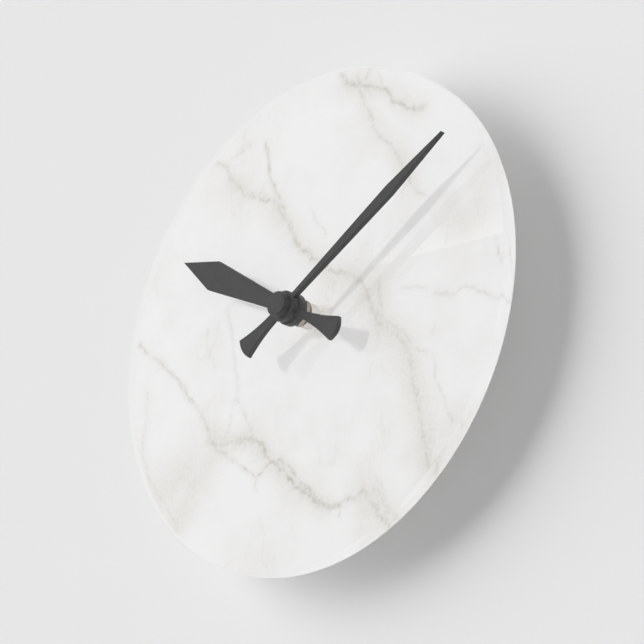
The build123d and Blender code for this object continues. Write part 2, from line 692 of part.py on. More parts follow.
def stator_plate():
    """Soft iron plate from one end of the coil, round the magnet, to the other end."""
    back, front = level(STATOR)
    body = disc(STATOR_RING, back, front, rotor)
    for side in (-1, 1):
        knee = (coil_middle + side * foot_offset, knee_height)
        foot = (coil_middle + side * foot_offset, coil_height)
        body += bar(rotor, knee, STATOR_ARM, back, front)
        body += bar(knee, foot, STATOR_ARM, back, front)
    return body - disc(MAGNET_RADIUS + MAGNET_GAP, back, front, rotor)


def coil_core():
    """Soft iron bar that closes the stator's legs through the coil."""
    back, front = level(COIL_CORE)
    reach = foot_offset + STATOR_ARM / 2
    return block(coil_middle - reach, coil_middle + reach, coil_height - STATOR_ARM / 2,
                 coil_height + STATOR_ARM / 2, back, front)


def coil_bobbin():
    """Thin moulded tube with a flange at each end."""
    start, end = coil_middle - COIL_LENGTH / 2, coil_middle + COIL_LENGTH / 2
    body = lying(COIL_TUBE_RADIUS, start, end, coil_height, coil_depth)
    body += lying(COIL_FLANGE_RADIUS, start, start + COIL_FLANGE, coil_height, coil_depth)
    body += lying(COIL_FLANGE_RADIUS, end - COIL_FLANGE, end, coil_height, coil_depth)
    return body - coil_core()


def coil_winding():
    start = coil_middle - COIL_LENGTH / 2 + COIL_FLANGE
    end = coil_middle + COIL_LENGTH / 2 - COIL_FLANGE
    return (lying(COIL_WINDING_RADIUS, start, end, coil_height, coil_depth)
            - lying(COIL_TUBE_RADIUS, start, end, coil_height, coil_depth))


def circuit_board():
    """Board between the two contacts, with holes that clear the cover posts."""
    back, front = level(BOARD)
    edge = room - CONTACT_THICKNESS
    body = block(BOARD_LEFT, edge, board_low, AXIS_TO_ROOF - CONTACT_THICKNESS, back, front)
    for at in posts():
        body -= disc(POST_RADIUS + COVER_CLEARANCE, back, front, at)
    return body


def ic_blob():
    """Round cap of black resin over the chip."""
    back = level(BOARD)[0]
    ball = (BLOB_RADIUS ** 2 + BLOB_HEIGHT ** 2) / (2 * BLOB_HEIGHT)
    dome = Pos((BOARD_LEFT + room) / 2, board_middle, back + ball - BLOB_HEIGHT) * Sphere(ball)
    return dome & block(BOARD_LEFT, room, board_low, AXIS_TO_ROOF, back - BLOB_HEIGHT, back)


def quartz_crystal():
    """Small steel can lying on the board."""
    start = (BOARD_LEFT + room) / 2 + BLOB_RADIUS + CRYSTAL_RADIUS
    return lying(CRYSTAL_RADIUS, start, start + CRYSTAL_LENGTH, board_middle - CRYSTAL_RADIUS,
                 level(BOARD)[0] - CRYSTAL_RADIUS)


def chip_capacitor():
    length, width, height = CAPACITOR
    left = BOARD_LEFT + length
    back = level(BOARD)[0]
    return block(left, left + length, board_middle, board_middle + width, back - height, back)


# -------------------------------------------------------------- battery, contacts

def strip_depths():
    return cell_depth - CONTACT_WIDTH / 2, cell_depth + CONTACT_WIDTH / 2


def contact_positive():
    """Strip on the right wall, with a dimple for the terminal; it runs up to the board."""
    low, high = strip_depths()
    body = block(room - CONTACT_THICKNESS, room, cell_height - CONTACT_WIDTH / 2,
                 board_low + CONTACT_ON_BOARD, low, high)
    dimple = room - PLUS_ROOM + CONTACT_GAP
    return body + lying(DIMPLE_RADIUS, dimple, room - CONTACT_THICKNESS, cell_height, cell_depth)


def contact_negative():
    """Strip up the left wall and along the roof to the board, with a bowed spring."""
    low, high = strip_depths()
    body = block(-room, -room + CONTACT_THICKNESS, cell_height - CONTACT_WIDTH / 2, AXIS_TO_ROOF,
                 low, high)
    body += block(-room, BOARD_LEFT + CONTACT_ON_BOARD, AXIS_TO_ROOF - CONTACT_THICKNESS,
                  AXIS_TO_ROOF, low, high)
    wall = -room + CONTACT_THICKNESS
    crown = -room + SPRING_ROOM - CONTACT_GAP
    half = CONTACT_WIDTH / 2
    outer = ThreePointArc((wall, cell_height - half), (crown, cell_height),
                          (wall, cell_height + half))
    inner = ThreePointArc((wall, cell_height - half + CONTACT_THICKNESS),
                          (crown - CONTACT_THICKNESS, cell_height),
                          (wall, cell_height + half - CONTACT_THICKNESS))
    bow = make_face([outer, Line(outer @ 1, inner @ 1), inner, Line(inner @ 0, outer @ 0)])
    return body + extrude(Pos(0, 0, low) * bow, CONTACT_WIDTH)


cell_start = -room + SPRING_ROOM


def battery_cell():
    """Cylindrical cell in its sleeve."""
    body = lying(CELL_RADIUS, cell_start, cell_start + CELL_LENGTH, cell_height, cell_depth)
    return fillet(body.edges(), CELL_EDGE)


def battery_terminal():
    end = cell_start + CELL_LENGTH
    return lying(TERMINAL_RADIUS, end, end + TERMINAL_LENGTH, cell_height, cell_depth)


# ---------------------------------------------------------------------- write out

PIECES = [
    dial_acrylic, dial_print, dial_gasket, spacer_ring, flat_washer, hex_nut,
    hour_hand, minute_hand, hand_cap,
    case_front, threaded_bush, rear_cover, train_plate, hanger_plate,
    cannon_pinion, clutch_spring, minute_wheel, hour_wheel, setting_knob,
    centre_wheel, third_wheel, seconds_wheel, seconds_arbor, intermediate_wheel,
    rotor_magnet, rotor_pinion,
    stator_plate, coil_core, coil_bobbin, coil_winding,
    circuit_board, ic_blob, quartz_crystal, chip_capacitor,
    contact_positive, contact_negative, battery_cell, battery_terminal,
]

os.makedirs("parts", exist_ok=True)
for piece in PIECES:
    save(piece.__name__, piece())
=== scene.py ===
import json
from math import asin, cos, pi, radians, sin, sqrt

import bmesh
import bpy
import numpy as np
from mathutils import Matrix, Vector, noise

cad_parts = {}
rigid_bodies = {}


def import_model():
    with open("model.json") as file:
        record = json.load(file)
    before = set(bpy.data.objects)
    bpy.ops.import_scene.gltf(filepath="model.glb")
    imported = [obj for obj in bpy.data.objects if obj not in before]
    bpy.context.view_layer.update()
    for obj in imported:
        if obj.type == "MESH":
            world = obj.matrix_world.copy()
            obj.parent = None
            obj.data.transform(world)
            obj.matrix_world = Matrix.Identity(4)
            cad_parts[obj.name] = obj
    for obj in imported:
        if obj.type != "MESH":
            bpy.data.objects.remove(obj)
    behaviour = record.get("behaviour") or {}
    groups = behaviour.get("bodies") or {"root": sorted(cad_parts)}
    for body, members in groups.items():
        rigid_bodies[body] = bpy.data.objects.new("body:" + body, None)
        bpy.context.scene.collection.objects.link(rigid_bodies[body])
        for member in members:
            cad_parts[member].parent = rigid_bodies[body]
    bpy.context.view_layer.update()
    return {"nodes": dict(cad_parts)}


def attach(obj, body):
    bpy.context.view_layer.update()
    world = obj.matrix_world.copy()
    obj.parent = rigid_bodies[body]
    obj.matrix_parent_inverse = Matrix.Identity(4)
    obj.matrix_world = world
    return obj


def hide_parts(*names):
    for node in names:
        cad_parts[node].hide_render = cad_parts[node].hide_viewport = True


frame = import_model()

# A round wall clock: a clear acrylic disc with a marble picture behind it, black hands
# and a quartz movement. X is right, Z up, and the wall is the plane Y = 0 behind it.
# Depths below are millimetres out from the wall, so depth 20 is Y = -0.020.


# ------------------------------------------------------------------ movement case
# The black box behind the dial and its snap-in cover. Both are injection-moulded ABS,
# with a fine spark-eroded grain on the outside; the cover clicks in on two latches.

MM = 0.001
CASE_BLACK = "#1d1e20"
CASE_WORN = "#2b2c2e"
SPARK_GRAIN = 0.55            # a real grain is near 0.1; drawn coarser so that it shows
FLOW_LINES = 14.0
MOULD_EDGE = 0.12             # rounding of the mould's outside and inside edges


def linear(code):
    """An sRGB hex colour as linear red, green, blue and alpha."""
    parts = [int(code[at:at + 2], 16) / 255 for at in (1, 3, 5)]
    return [c / 12.92 if c <= 0.04045 else ((c + 0.055) / 1.055) ** 2.4 for c in parts] + [1]


def material(name):
    """An empty node material, and the Object coordinates that its patterns use."""
    made = bpy.data.materials.new(name)
    made.use_nodes = True
    made.node_tree.nodes.clear()
    return made, add(made, "TexCoord", {}, "Object")


def add(finish, kind, inputs, output=None, **settings):
    """Add a node with its settings; each input takes a value or another node's output.

    It gives back the node, or only the output that is named. A noise whose Scale is
    1 / (size * MM) has spots about that many millimetres across.
    """
    made = finish.node_tree.nodes.new("ShaderNode" + kind)
    for name, value in settings.items():
        setattr(made, name, value)
    for place, value in inputs.items():
        if isinstance(value, bpy.types.NodeSocket):
            finish.node_tree.links.new(value, made.inputs[place])
        else:
            made.inputs[place].default_value = value
    return made if output is None else made.outputs[output]


def dress(finish, *nodes):
    """Give CAD nodes that keep their own shape a material."""
    for name in nodes:
        mesh = frame["nodes"][name].data
        mesh.materials.clear()
        mesh.materials.append(finish)


# Moulded ABS: even black, a little lighter where the tool's grain catches the light.
black_abs, where = material("moulded_black_abs")
grain = add(black_abs, "TexNoise", {
    "Vector": where, "Scale": 1 / (SPARK_GRAIN * MM), "Detail": 3.0}, "Fac")
flow = add(black_abs, "TexNoise", {"Vector": where, "Scale": 1 / (FLOW_LINES * MM)}, "Fac")
worn = add(black_abs, "MapRange", {
    "Value": flow, "From Min": 0.35, "From Max": 0.7, "To Min": 0, "To Max": 1}, "Result")
tint = add(black_abs, "Mix", {
    0: worn, 6: linear(CASE_BLACK), 7: linear(CASE_WORN)}, 2, data_type="RGBA")
rough = add(black_abs, "MapRange", {"Value": grain, "To Min": 0.42, "To Max": 0.62}, "Result")
relief = add(black_abs, "Bump", {"Height": grain, "Distance": 0.06 * MM}, "Normal")
shader = add(black_abs, "BsdfPrincipled", {
    "Base Color": tint, "Roughness": rough, "Normal": relief}, "BSDF")
add(black_abs, "OutputMaterial", {"Surface": shader})


def round_edges(bm, width, segments=2):
    """Round every sharp edge of a solid over, by this many millimetres."""
    bmesh.ops.recalc_face_normals(bm, faces=bm.faces)
    sharp = [e for e in bm.edges if e.is_manifold and e.calc_face_angle() > radians(25)]
    bmesh.ops.bevel(bm, geom=sharp, offset=width * MM, offset_type="OFFSET",
                    segments=segments, profile=0.5, affect="EDGES", material=-1,
                    clamp_overlap=True)


def shaped(bm, name, finish):
    """An object of this mesh and material; the mesh is used up."""
    mesh = bpy.data.meshes.new(name)
    bm.to_mesh(mesh)
    bm.free()
    mesh.materials.append(finish)
    made = bpy.data.objects.new(name, mesh)
    bpy.context.scene.collection.objects.link(made)
    return made


def piece(bm, name, finish, body, slot, *nodes, crease=35):
    """Finish a mesh as the piece that stands for these CAD nodes."""
    bmesh.ops.recalc_face_normals(bm, faces=bm.faces)
    made = shaped(bm, name, finish)
    made.data.polygons.foreach_set("use_smooth", [True] * len(made.data.polygons))
    made.data.set_sharp_from_angle(angle=radians(crease))
    made.modifiers.new("flat_faces_stay_flat", "WEIGHTED_NORMAL").keep_sharp = True
    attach(made, body)
    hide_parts(*nodes)
    return made


def softened(node, width):
    """A copy of a CAD node's shape with its edges rounded over."""
    bm = bmesh.new()
    bm.from_mesh(frame["nodes"][node].data)
    bmesh.ops.remove_doubles(bm, verts=bm.verts, dist=0.002 * MM)
    bmesh.ops.dissolve_limit(bm, angle_limit=radians(1), verts=bm.verts, edges=bm.edges)
    round_edges(bm, width, 1)
    return bm


piece(softened("case_front", MOULD_EDGE), "movement_case", black_abs, "case", "black_abs",
      "case_front")
piece(softened("rear_cover", MOULD_EDGE), "snap_in_cover", black_abs, "case", "black_abs",
      "rear_cover")


# ---------------------------------------------------------------- train and motor
# Wheels, plates and the stepping motor inside the case. Wheels are moulded acetal,
# the plate grey nylon; the motor has iron plates, a copper coil and a ferrite magnet.

ACETAL_WHITE, ACETAL_SHADE = "#e9e7df", "#d6d3c8"
NYLON_GREY, NYLON_DARK = "#8b8f92", "#6f7376"
ACETAL_CLOUD = 2.5
IRON_GREY, IRON_STAIN = "#8f8d88", "#6e6a62"
WIRE_PITCH = pi / 2           # real enamelled wire is near 0.03 thick; drawn coarser
COPPER_BRIGHT, COPPER_DARK = "#b8683a", "#6d3216"
BOARD_GREEN, BOARD_LIGHT = "#2c5a3c", "#3a7350"
BOARD_WEAVE = 0.6             # a real cloth's is near 0.3
FERRITE_BLACK, FERRITE_GREY = "#1f1f21", "#39393c"
STEEL_LIGHT, STEEL_SHADE = "#c9c9c8", "#b3b3b2"
RESIN_BLACK, RESIN_SHEEN = "#0e0e0f", "#1a1a1b"
CERAMIC_TAN, CERAMIC_BROWN = "#b39a78", "#9c8362"

# Acetal: waxy and slightly cloudy, with light scattering just under the skin.
white_acetal, where = material("moulded_white_acetal")
cloud = add(white_acetal, "TexNoise", {
    "Vector": where, "Scale": 1 / (ACETAL_CLOUD * MM)}, "Fac")
tint = add(white_acetal, "Mix", {
    0: cloud, 6: linear(ACETAL_WHITE), 7: linear(ACETAL_SHADE)}, 2, data_type="RGBA")
rough = add(white_acetal, "MapRange", {"Value": cloud, "To Min": 0.3, "To Max": 0.45}, "Result")
shader = add(white_acetal, "BsdfPrincipled", {
    "Base Color": tint, "Roughness": rough, "Subsurface Weight": 0.15,
    "Subsurface Scale": 0.4 * MM}, "BSDF")
add(white_acetal, "OutputMaterial", {"Surface": shader})
dress(white_acetal, "hour_wheel", "minute_wheel", "centre_wheel", "third_wheel",
      "seconds_wheel", "intermediate_wheel", "rotor_pinion")

# Glass-filled nylon: matt grey with fine fibre specks.
grey_nylon, where = material("moulded_grey_nylon")
fibre = add(grey_nylon, "TexNoise", {
    "Vector": where, "Scale": 1 / (SPARK_GRAIN * MM), "Detail": 4.0}, "Fac")
tint = add(grey_nylon, "Mix", {
    0: fibre, 6: linear(NYLON_GREY), 7: linear(NYLON_DARK)}, 2, data_type="RGBA")
rough = add(grey_nylon, "MapRange", {"Value": fibre, "To Min": 0.5, "To Max": 0.7}, "Result")
relief = add(grey_nylon, "Bump", {"Height": fibre, "Distance": 0.04 * MM}, "Normal")
shader = add(grey_nylon, "BsdfPrincipled", {
    "Base Color": tint, "Roughness": rough, "Normal": relief}, "BSDF")
add(grey_nylon, "OutputMaterial", {"Surface": shader})
dress(grey_nylon, "train_plate")

# Annealed soft iron: dull grey, faintly stained.
soft_iron, where = material("annealed_soft_iron")
stain = add(soft_iron, "TexNoise", {
    "Vector": where, "Scale": 1 / (3.0 * MM), "Detail": 4.0}, "Fac")
tint = add(soft_iron, "Mix", {
    0: stain, 6: linear(IRON_GREY), 7: linear(IRON_STAIN)}, 2, data_type="RGBA")
rough = add(soft_iron, "MapRange", {"Value": stain, "To Min": 0.35, "To Max": 0.6}, "Result")
shader = add(soft_iron, "BsdfPrincipled", {
    "Base Color": tint, "Metallic": 1.0, "Roughness": rough}, "BSDF")
add(soft_iron, "OutputMaterial", {"Surface": shader})
dress(soft_iron, "stator_plate", "coil_core")
dress(black_abs, "coil_bobbin")

# Enamelled copper wire: turns lie side by side along the coil. At scale 1 the bands
# would repeat every 2 pi / 20 of a metre.
copper_wire, where = material("enamelled_copper_wire")
turns = add(copper_wire, "TexWave", {
    "Vector": where, "Scale": 2 * pi / (20 * WIRE_PITCH * MM)
}, "Fac", wave_type="BANDS", bands_direction="X")
tint = add(copper_wire, "Mix", {
    0: turns, 6: linear(COPPER_DARK), 7: linear(COPPER_BRIGHT)}, 2, data_type="RGBA")
relief = add(copper_wire, "Bump", {"Height": turns, "Distance": 0.1 * MM}, "Normal")
shader = add(copper_wire, "BsdfPrincipled", {
    "Base Color": tint, "Metallic": 1.0, "Roughness": 0.25, "Coat Weight": 0.6, "Normal": relief
}, "BSDF")
add(copper_wire, "OutputMaterial", {"Surface": shader})
dress(copper_wire, "coil_winding")

# Sintered ferrite: almost black, matt and slightly grainy.
ferrite, where = material("sintered_ferrite")
grit = add(ferrite, "TexNoise", {
    "Vector": where, "Scale": 1 / (0.4 * MM), "Detail": 4.0}, "Fac")
tint = add(ferrite, "Mix", {
    0: grit, 6: linear(FERRITE_BLACK), 7: linear(FERRITE_GREY)}, 2, data_type="RGBA")
rough = add(ferrite, "MapRange", {"Value": grit, "To Min": 0.55, "To Max": 0.8}, "Result")
relief = add(ferrite, "Bump", {"Height": grit, "Distance": 0.03 * MM}, "Normal")
shader = add(ferrite, "BsdfPrincipled", {
    "Base Color": tint, "Roughness": rough, "Normal": relief}, "BSDF")
add(ferrite, "OutputMaterial", {"Surface": shader})
dress(ferrite, "rotor_magnet")

# Ground steel pins: bright, with turning marks.
bright_steel, where = material("ground_steel")
rings = add(bright_steel, "TexNoise", {"Vector": where, "Scale": 1 / (0.3 * MM)}, "Fac")
tint = add(bright_steel, "Mix", {
    0: rings, 6: linear(STEEL_LIGHT), 7: linear(STEEL_SHADE)}, 2, data_type="RGBA")
rough = add(bright_steel, "MapRange", {"Value": rings, "To Min": 0.15, "To Max": 0.3}, "Result")
shader = add(bright_steel, "BsdfPrincipled", {
    "Base Color": tint, "Metallic": 1.0, "Roughness": rough}, "BSDF")
add(bright_steel, "OutputMaterial", {"Surface": shader})
dress(bright_steel, "seconds_arbor")

# Glass-fibre board under a green solder mask, with the weave just showing.
green_board, where = material("solder_masked_board")
weave = add(green_board, "TexChecker", {"Vector": where, "Scale": 1 / (BOARD_WEAVE * MM)})
tint = add(green_board, "Mix", {
    0: weave.outputs["Fac"], 6: linear(BOARD_GREEN), 7: linear(BOARD_LIGHT)
}, 2, data_type="RGBA")
shader = add(green_board, "BsdfPrincipled", {
    "Base Color": tint, "Roughness": 0.35, "Coat Weight": 0.4}, "BSDF")
add(green_board, "OutputMaterial", {"Surface": shader})
dress(green_board, "circuit_board")

# Potting resin: a glossy black drop with an orange-peel skin.
black_resin, where = material("potting_resin")
skin = add(black_resin, "TexNoise", {"Vector": where, "Scale": 1 / (0.8 * MM)}, "Fac")
tint = add(black_resin, "Mix", {
    0: skin, 6: linear(RESIN_BLACK), 7: linear(RESIN_SHEEN)}, 2, data_type="RGBA")
relief = add(black_resin, "Bump", {"Height": skin, "Distance": 0.03 * MM}, "Normal")
shader = add(black_resin, "BsdfPrincipled", {
    "Base Color": tint, "Roughness": 0.2, "Normal": relief}, "BSDF")
add(black_resin, "OutputMaterial", {"Surface": shader})
dress(black_resin, "ic_blob")

# Drawn steel can and a ceramic chip.
dress(bright_steel, "quartz_crystal")
ceramic, where = material("fired_ceramic")
grit = add(ceramic, "TexNoise", {"Vector": where, "Scale": 1 / (0.3 * MM)}, "Fac")
tint = add(ceramic, "Mix", {
    0: grit, 6: linear(CERAMIC_TAN), 7: linear(CERAMIC_BROWN)}, 2, data_type="RGBA")
shader = add(ceramic, "BsdfPrincipled", {"Base Color": tint, "Roughness": 0.6}, "BSDF")
add(ceramic, "OutputMaterial", {"Surface": shader})
dress(ceramic, "chip_capacitor")


# -------------------------------------------------------------- contacts and cell
# Two sprung strips of nickel-plated brass, and one AA cell that lies across the bay.
# The cell is a steel can in a shrunk plastic sleeve with a plain printed band.

CELL_HEIGHT, CELL_DEPTH = -18.7, 7.9
CELL_START, CELL_LENGTH = -24.2, 49.0
CELL_RADIUS = 7.1
TERMINAL_RADIUS, TERMINAL_LENGTH = 2.75, 1.5
SLEEVE_SLATE, SLEEVE_BAND = "#3c4650", "#d9dcdd"
BAND_START = 12.0
NICKEL_LIGHT, NICKEL_SHADE = "#bab5ae", "#a39d95"

# Bright nickel plate: warm grey mirror, finely brushed and a little uneven.
nickel_plate, where = material("bright_nickel_plate")
stroke = add(nickel_plate, "TexNoise", {
    "Vector": where, "Scale": 1 / (0.9 * MM), "Detail": 3.0}, "Fac")
tint = add(nickel_plate, "Mix", {
    0: stroke, 6: linear(NICKEL_LIGHT), 7: linear(NICKEL_SHADE)}, 2, data_type="RGBA")
rough = add(nickel_plate, "MapRange", {
    "Value": stroke, "To Min": 0.16, "To Max": 0.3}, "Result")
relief = add(nickel_plate, "Bump", {"Height": stroke, "Distance": 0.008 * MM}, "Normal")
shader = add(nickel_plate, "BsdfPrincipled", {
    "Base Color": tint, "Metallic": 1.0, "Roughness": rough, "Normal": relief}, "BSDF")
add(nickel_plate, "OutputMaterial", {"Surface": shader})
dress(nickel_plate, "contact_positive", "contact_negative", "clutch_spring")


def turned(corners, steps, ring=True):
    """A solid turned about the hand axis, from (radius, depth) corners.

    A ring's last corner joins its first. On any other solid both lie on the axis.
    """
    bm = bmesh.new()
    verts = [bm.verts.new((radius * MM, -depth * MM, 0)) for radius, depth in corners]
    following = verts[1:] + verts[:1] if ring else verts[1:]
    edges = [bm.edges.new(pair) for pair in zip(verts, following)]
    bmesh.ops.spin(bm, geom=verts + edges, cent=(0, 0, 0), axis=(0, 1, 0), angle=2 * pi,
                   steps=steps, use_merge=True)
    if not ring:
        bmesh.ops.remove_doubles(bm, verts=bm.verts, dist=0.001 * MM)
    return bm


def lay_down(bm):
    """Turn a round bar from the hand axis into the battery bay; depth becomes X."""
    bmesh.ops.rotate(bm, verts=bm.verts, cent=(0, 0, 0), matrix=Matrix.Rotation(pi / 2, 3, "Z"))
    bmesh.ops.translate(bm, verts=bm.verts, vec=(0, -CELL_DEPTH * MM, CELL_HEIGHT * MM))


# Shrink sleeve: glossy film, slate with a pale band at the plus end.
sleeve, where = material("printed_shrink_sleeve")
along = add(sleeve, "SeparateXYZ", {"Vector": where}, "X")
band = add(sleeve, "Math", {0: along, 1: BAND_START * MM}, operation="GREATER_THAN")
ripple = add(sleeve, "TexNoise", {"Vector": where, "Scale": 1 / (5.0 * MM)}, "Fac")
tint = add(sleeve, "Mix", {
    0: band.outputs[0], 6: linear(SLEEVE_SLATE), 7: linear(SLEEVE_BAND)}, 2, data_type="RGBA")
rough = add(sleeve, "MapRange", {"Value": ripple, "To Min": 0.18, "To Max": 0.3}, "Result")
relief = add(sleeve, "Bump", {"Height": ripple, "Distance": 0.05 * MM}, "Normal")
shader = add(sleeve, "BsdfPrincipled", {
    "Base Color": tint, "Roughness": rough, "Coat Weight": 0.5, "Normal": relief}, "BSDF")
add(sleeve, "OutputMaterial", {"Surface": shader})

can_end = CELL_START + CELL_LENGTH
bm = turned([(0, CELL_START + 0.4), (4.6, CELL_START + 0.4), (5.4, CELL_START),
             (6.5, CELL_START), (CELL_RADIUS, CELL_START + 0.6),
             (CELL_RADIUS, can_end - 0.6), (6.5, can_end), (5.6, can_end),
             (4.9, can_end - 0.5), (0, can_end - 0.5)], 96, ring=False)
lay_down(bm)
piece(bm, "cell_in_sleeve", sleeve, "battery", "battery_sleeve", "battery_cell")

bm = turned([(0, can_end - 0.6), (4.4, can_end - 0.6), (4.4, can_end - 0.35),
             (3.2, can_end - 0.2), (TERMINAL_RADIUS, can_end + 0.1),
             (TERMINAL_RADIUS, can_end + TERMINAL_LENGTH - 0.35),
             (TERMINAL_RADIUS - 0.35, can_end + TERMINAL_LENGTH),
             (0, can_end + TERMINAL_LENGTH)], 48, ring=False)
lay_down(bm)
piece(bm, "cell_terminal", nickel_plate, "battery", "nickel_plate", "battery_terminal")


# ---------------------------------------------------------- knob, hanger, gasket
# A ribbed knob in a well of the cover sets the hands. A stepped steel strap, zinc
# plated, carries the clock on a nail; a rubber ring keeps the dial from slipping.

KNOB_GREY, KNOB_PALE = "#6c7074", "#7c8084"
ZINC_LIGHT, ZINC_DARK = "#b9bcc0", "#8d9299"
SPANGLE = 3.5                 # zinc crystals
RUBBER_BLACK, RUBBER_DUSTY = "#151515", "#262626"

# Moulded acetal knob: grey, smooth and a little glossy on the ribs.
knob_plastic, where = material("moulded_grey_knob")
grain = add(knob_plastic, "TexNoise", {"Vector": where, "Scale": 1 / (SPARK_GRAIN * MM)}, "Fac")
tint = add(knob_plastic, "Mix", {
    0: grain, 6: linear(KNOB_GREY), 7: linear(KNOB_PALE)}, 2, data_type="RGBA")
rough = add(knob_plastic, "MapRange", {"Value": grain, "To Min": 0.35, "To Max": 0.5}, "Result")
relief = add(knob_plastic, "Bump", {"Height": grain, "Distance": 0.02 * MM}, "Normal")
shader = add(knob_plastic, "BsdfPrincipled", {
    "Base Color": tint, "Roughness": rough, "Normal": relief}, "BSDF")
add(knob_plastic, "OutputMaterial", {"Surface": shader})
dress(knob_plastic, "setting_knob")

# Zinc-plated steel: blue-grey with flat crystal patches and a soft shine.
zinc_steel, where = material("zinc_plated_steel")
patch = add(zinc_steel, "TexVoronoi", {"Vector": where, "Scale": 1 / (SPANGLE * MM)})
tone = add(zinc_steel, "SeparateColor", {"Color": patch.outputs["Color"]}, 0)
tint = add(zinc_steel, "Mix", {
    0: tone, 6: linear(ZINC_LIGHT), 7: linear(ZINC_DARK)}, 2, data_type="RGBA")
rough = add(zinc_steel, "MapRange", {"Value": tone, "To Min": 0.28, "To Max": 0.42}, "Result")
pits = add(zinc_steel, "TexNoise", {"Vector": where, "Scale": 1 / (0.6 * MM)}, "Fac")
relief = add(zinc_steel, "Bump", {"Height": pits, "Distance": 0.01 * MM}, "Normal")
shader = add(zinc_steel, "BsdfPrincipled", {
    "Base Color": tint, "Metallic": 1.0, "Roughness": rough, "Normal": relief}, "BSDF")
add(zinc_steel, "OutputMaterial", {"Surface": shader})
dress(zinc_steel, "hanger_plate")

# Cut rubber: matt black with a dusty bloom.
rubber, where = material("cut_black_rubber")
bloom = add(rubber, "TexNoise", {
    "Vector": where, "Scale": 1 / (1.5 * MM), "Detail": 4.0}, "Fac")
tint = add(rubber, "Mix", {
    0: bloom, 6: linear(RUBBER_BLACK), 7: linear(RUBBER_DUSTY)}, 2, data_type="RGBA")
rough = add(rubber, "MapRange", {"Value": bloom, "To Min": 0.75, "To Max": 0.95}, "Result")
relief = add(rubber, "Bump", {"Height": bloom, "Distance": 0.04 * MM}, "Normal")
shader = add(rubber, "BsdfPrincipled", {
    "Base Color": tint, "Roughness": rough, "Normal": relief}, "BSDF")
add(rubber, "OutputMaterial", {"Surface": shader})
dress(rubber, "dial_gasket")


# ------------------------------------------------------------------ marble picture
# White vinyl film with a printed picture of veined marble, stuck to the back of the
# acrylic. The picture is in the film's front face; its back and edge are plain white.

PRINT_RADIUS = 101.45
PRINT_BACK, PRINT_FRONT = 19.0, 19.25    # bonded, so its front lies just in the acrylic
BUSH_HOLE = 4.2
WEAVE = 290                   # mesh squares across the picture
MARBLE_WHITE, MARBLE_GREY = "#f0f0f0", "#c3bfb6"
HAZE_GREY = "#dcd9d2"
CORE_SHARE = 0.72             # of a vein's darkness; the rest is its soft veil
VEIL_WIDTH, CLOUD_WIDTH = 2.0, 1.5      # times the half width given for each route
THREAD_DARK = 0.12            # the faintest hairlines
FILM_WHITE, FILM_SHADE = "#ececea", "#e2e2e0"

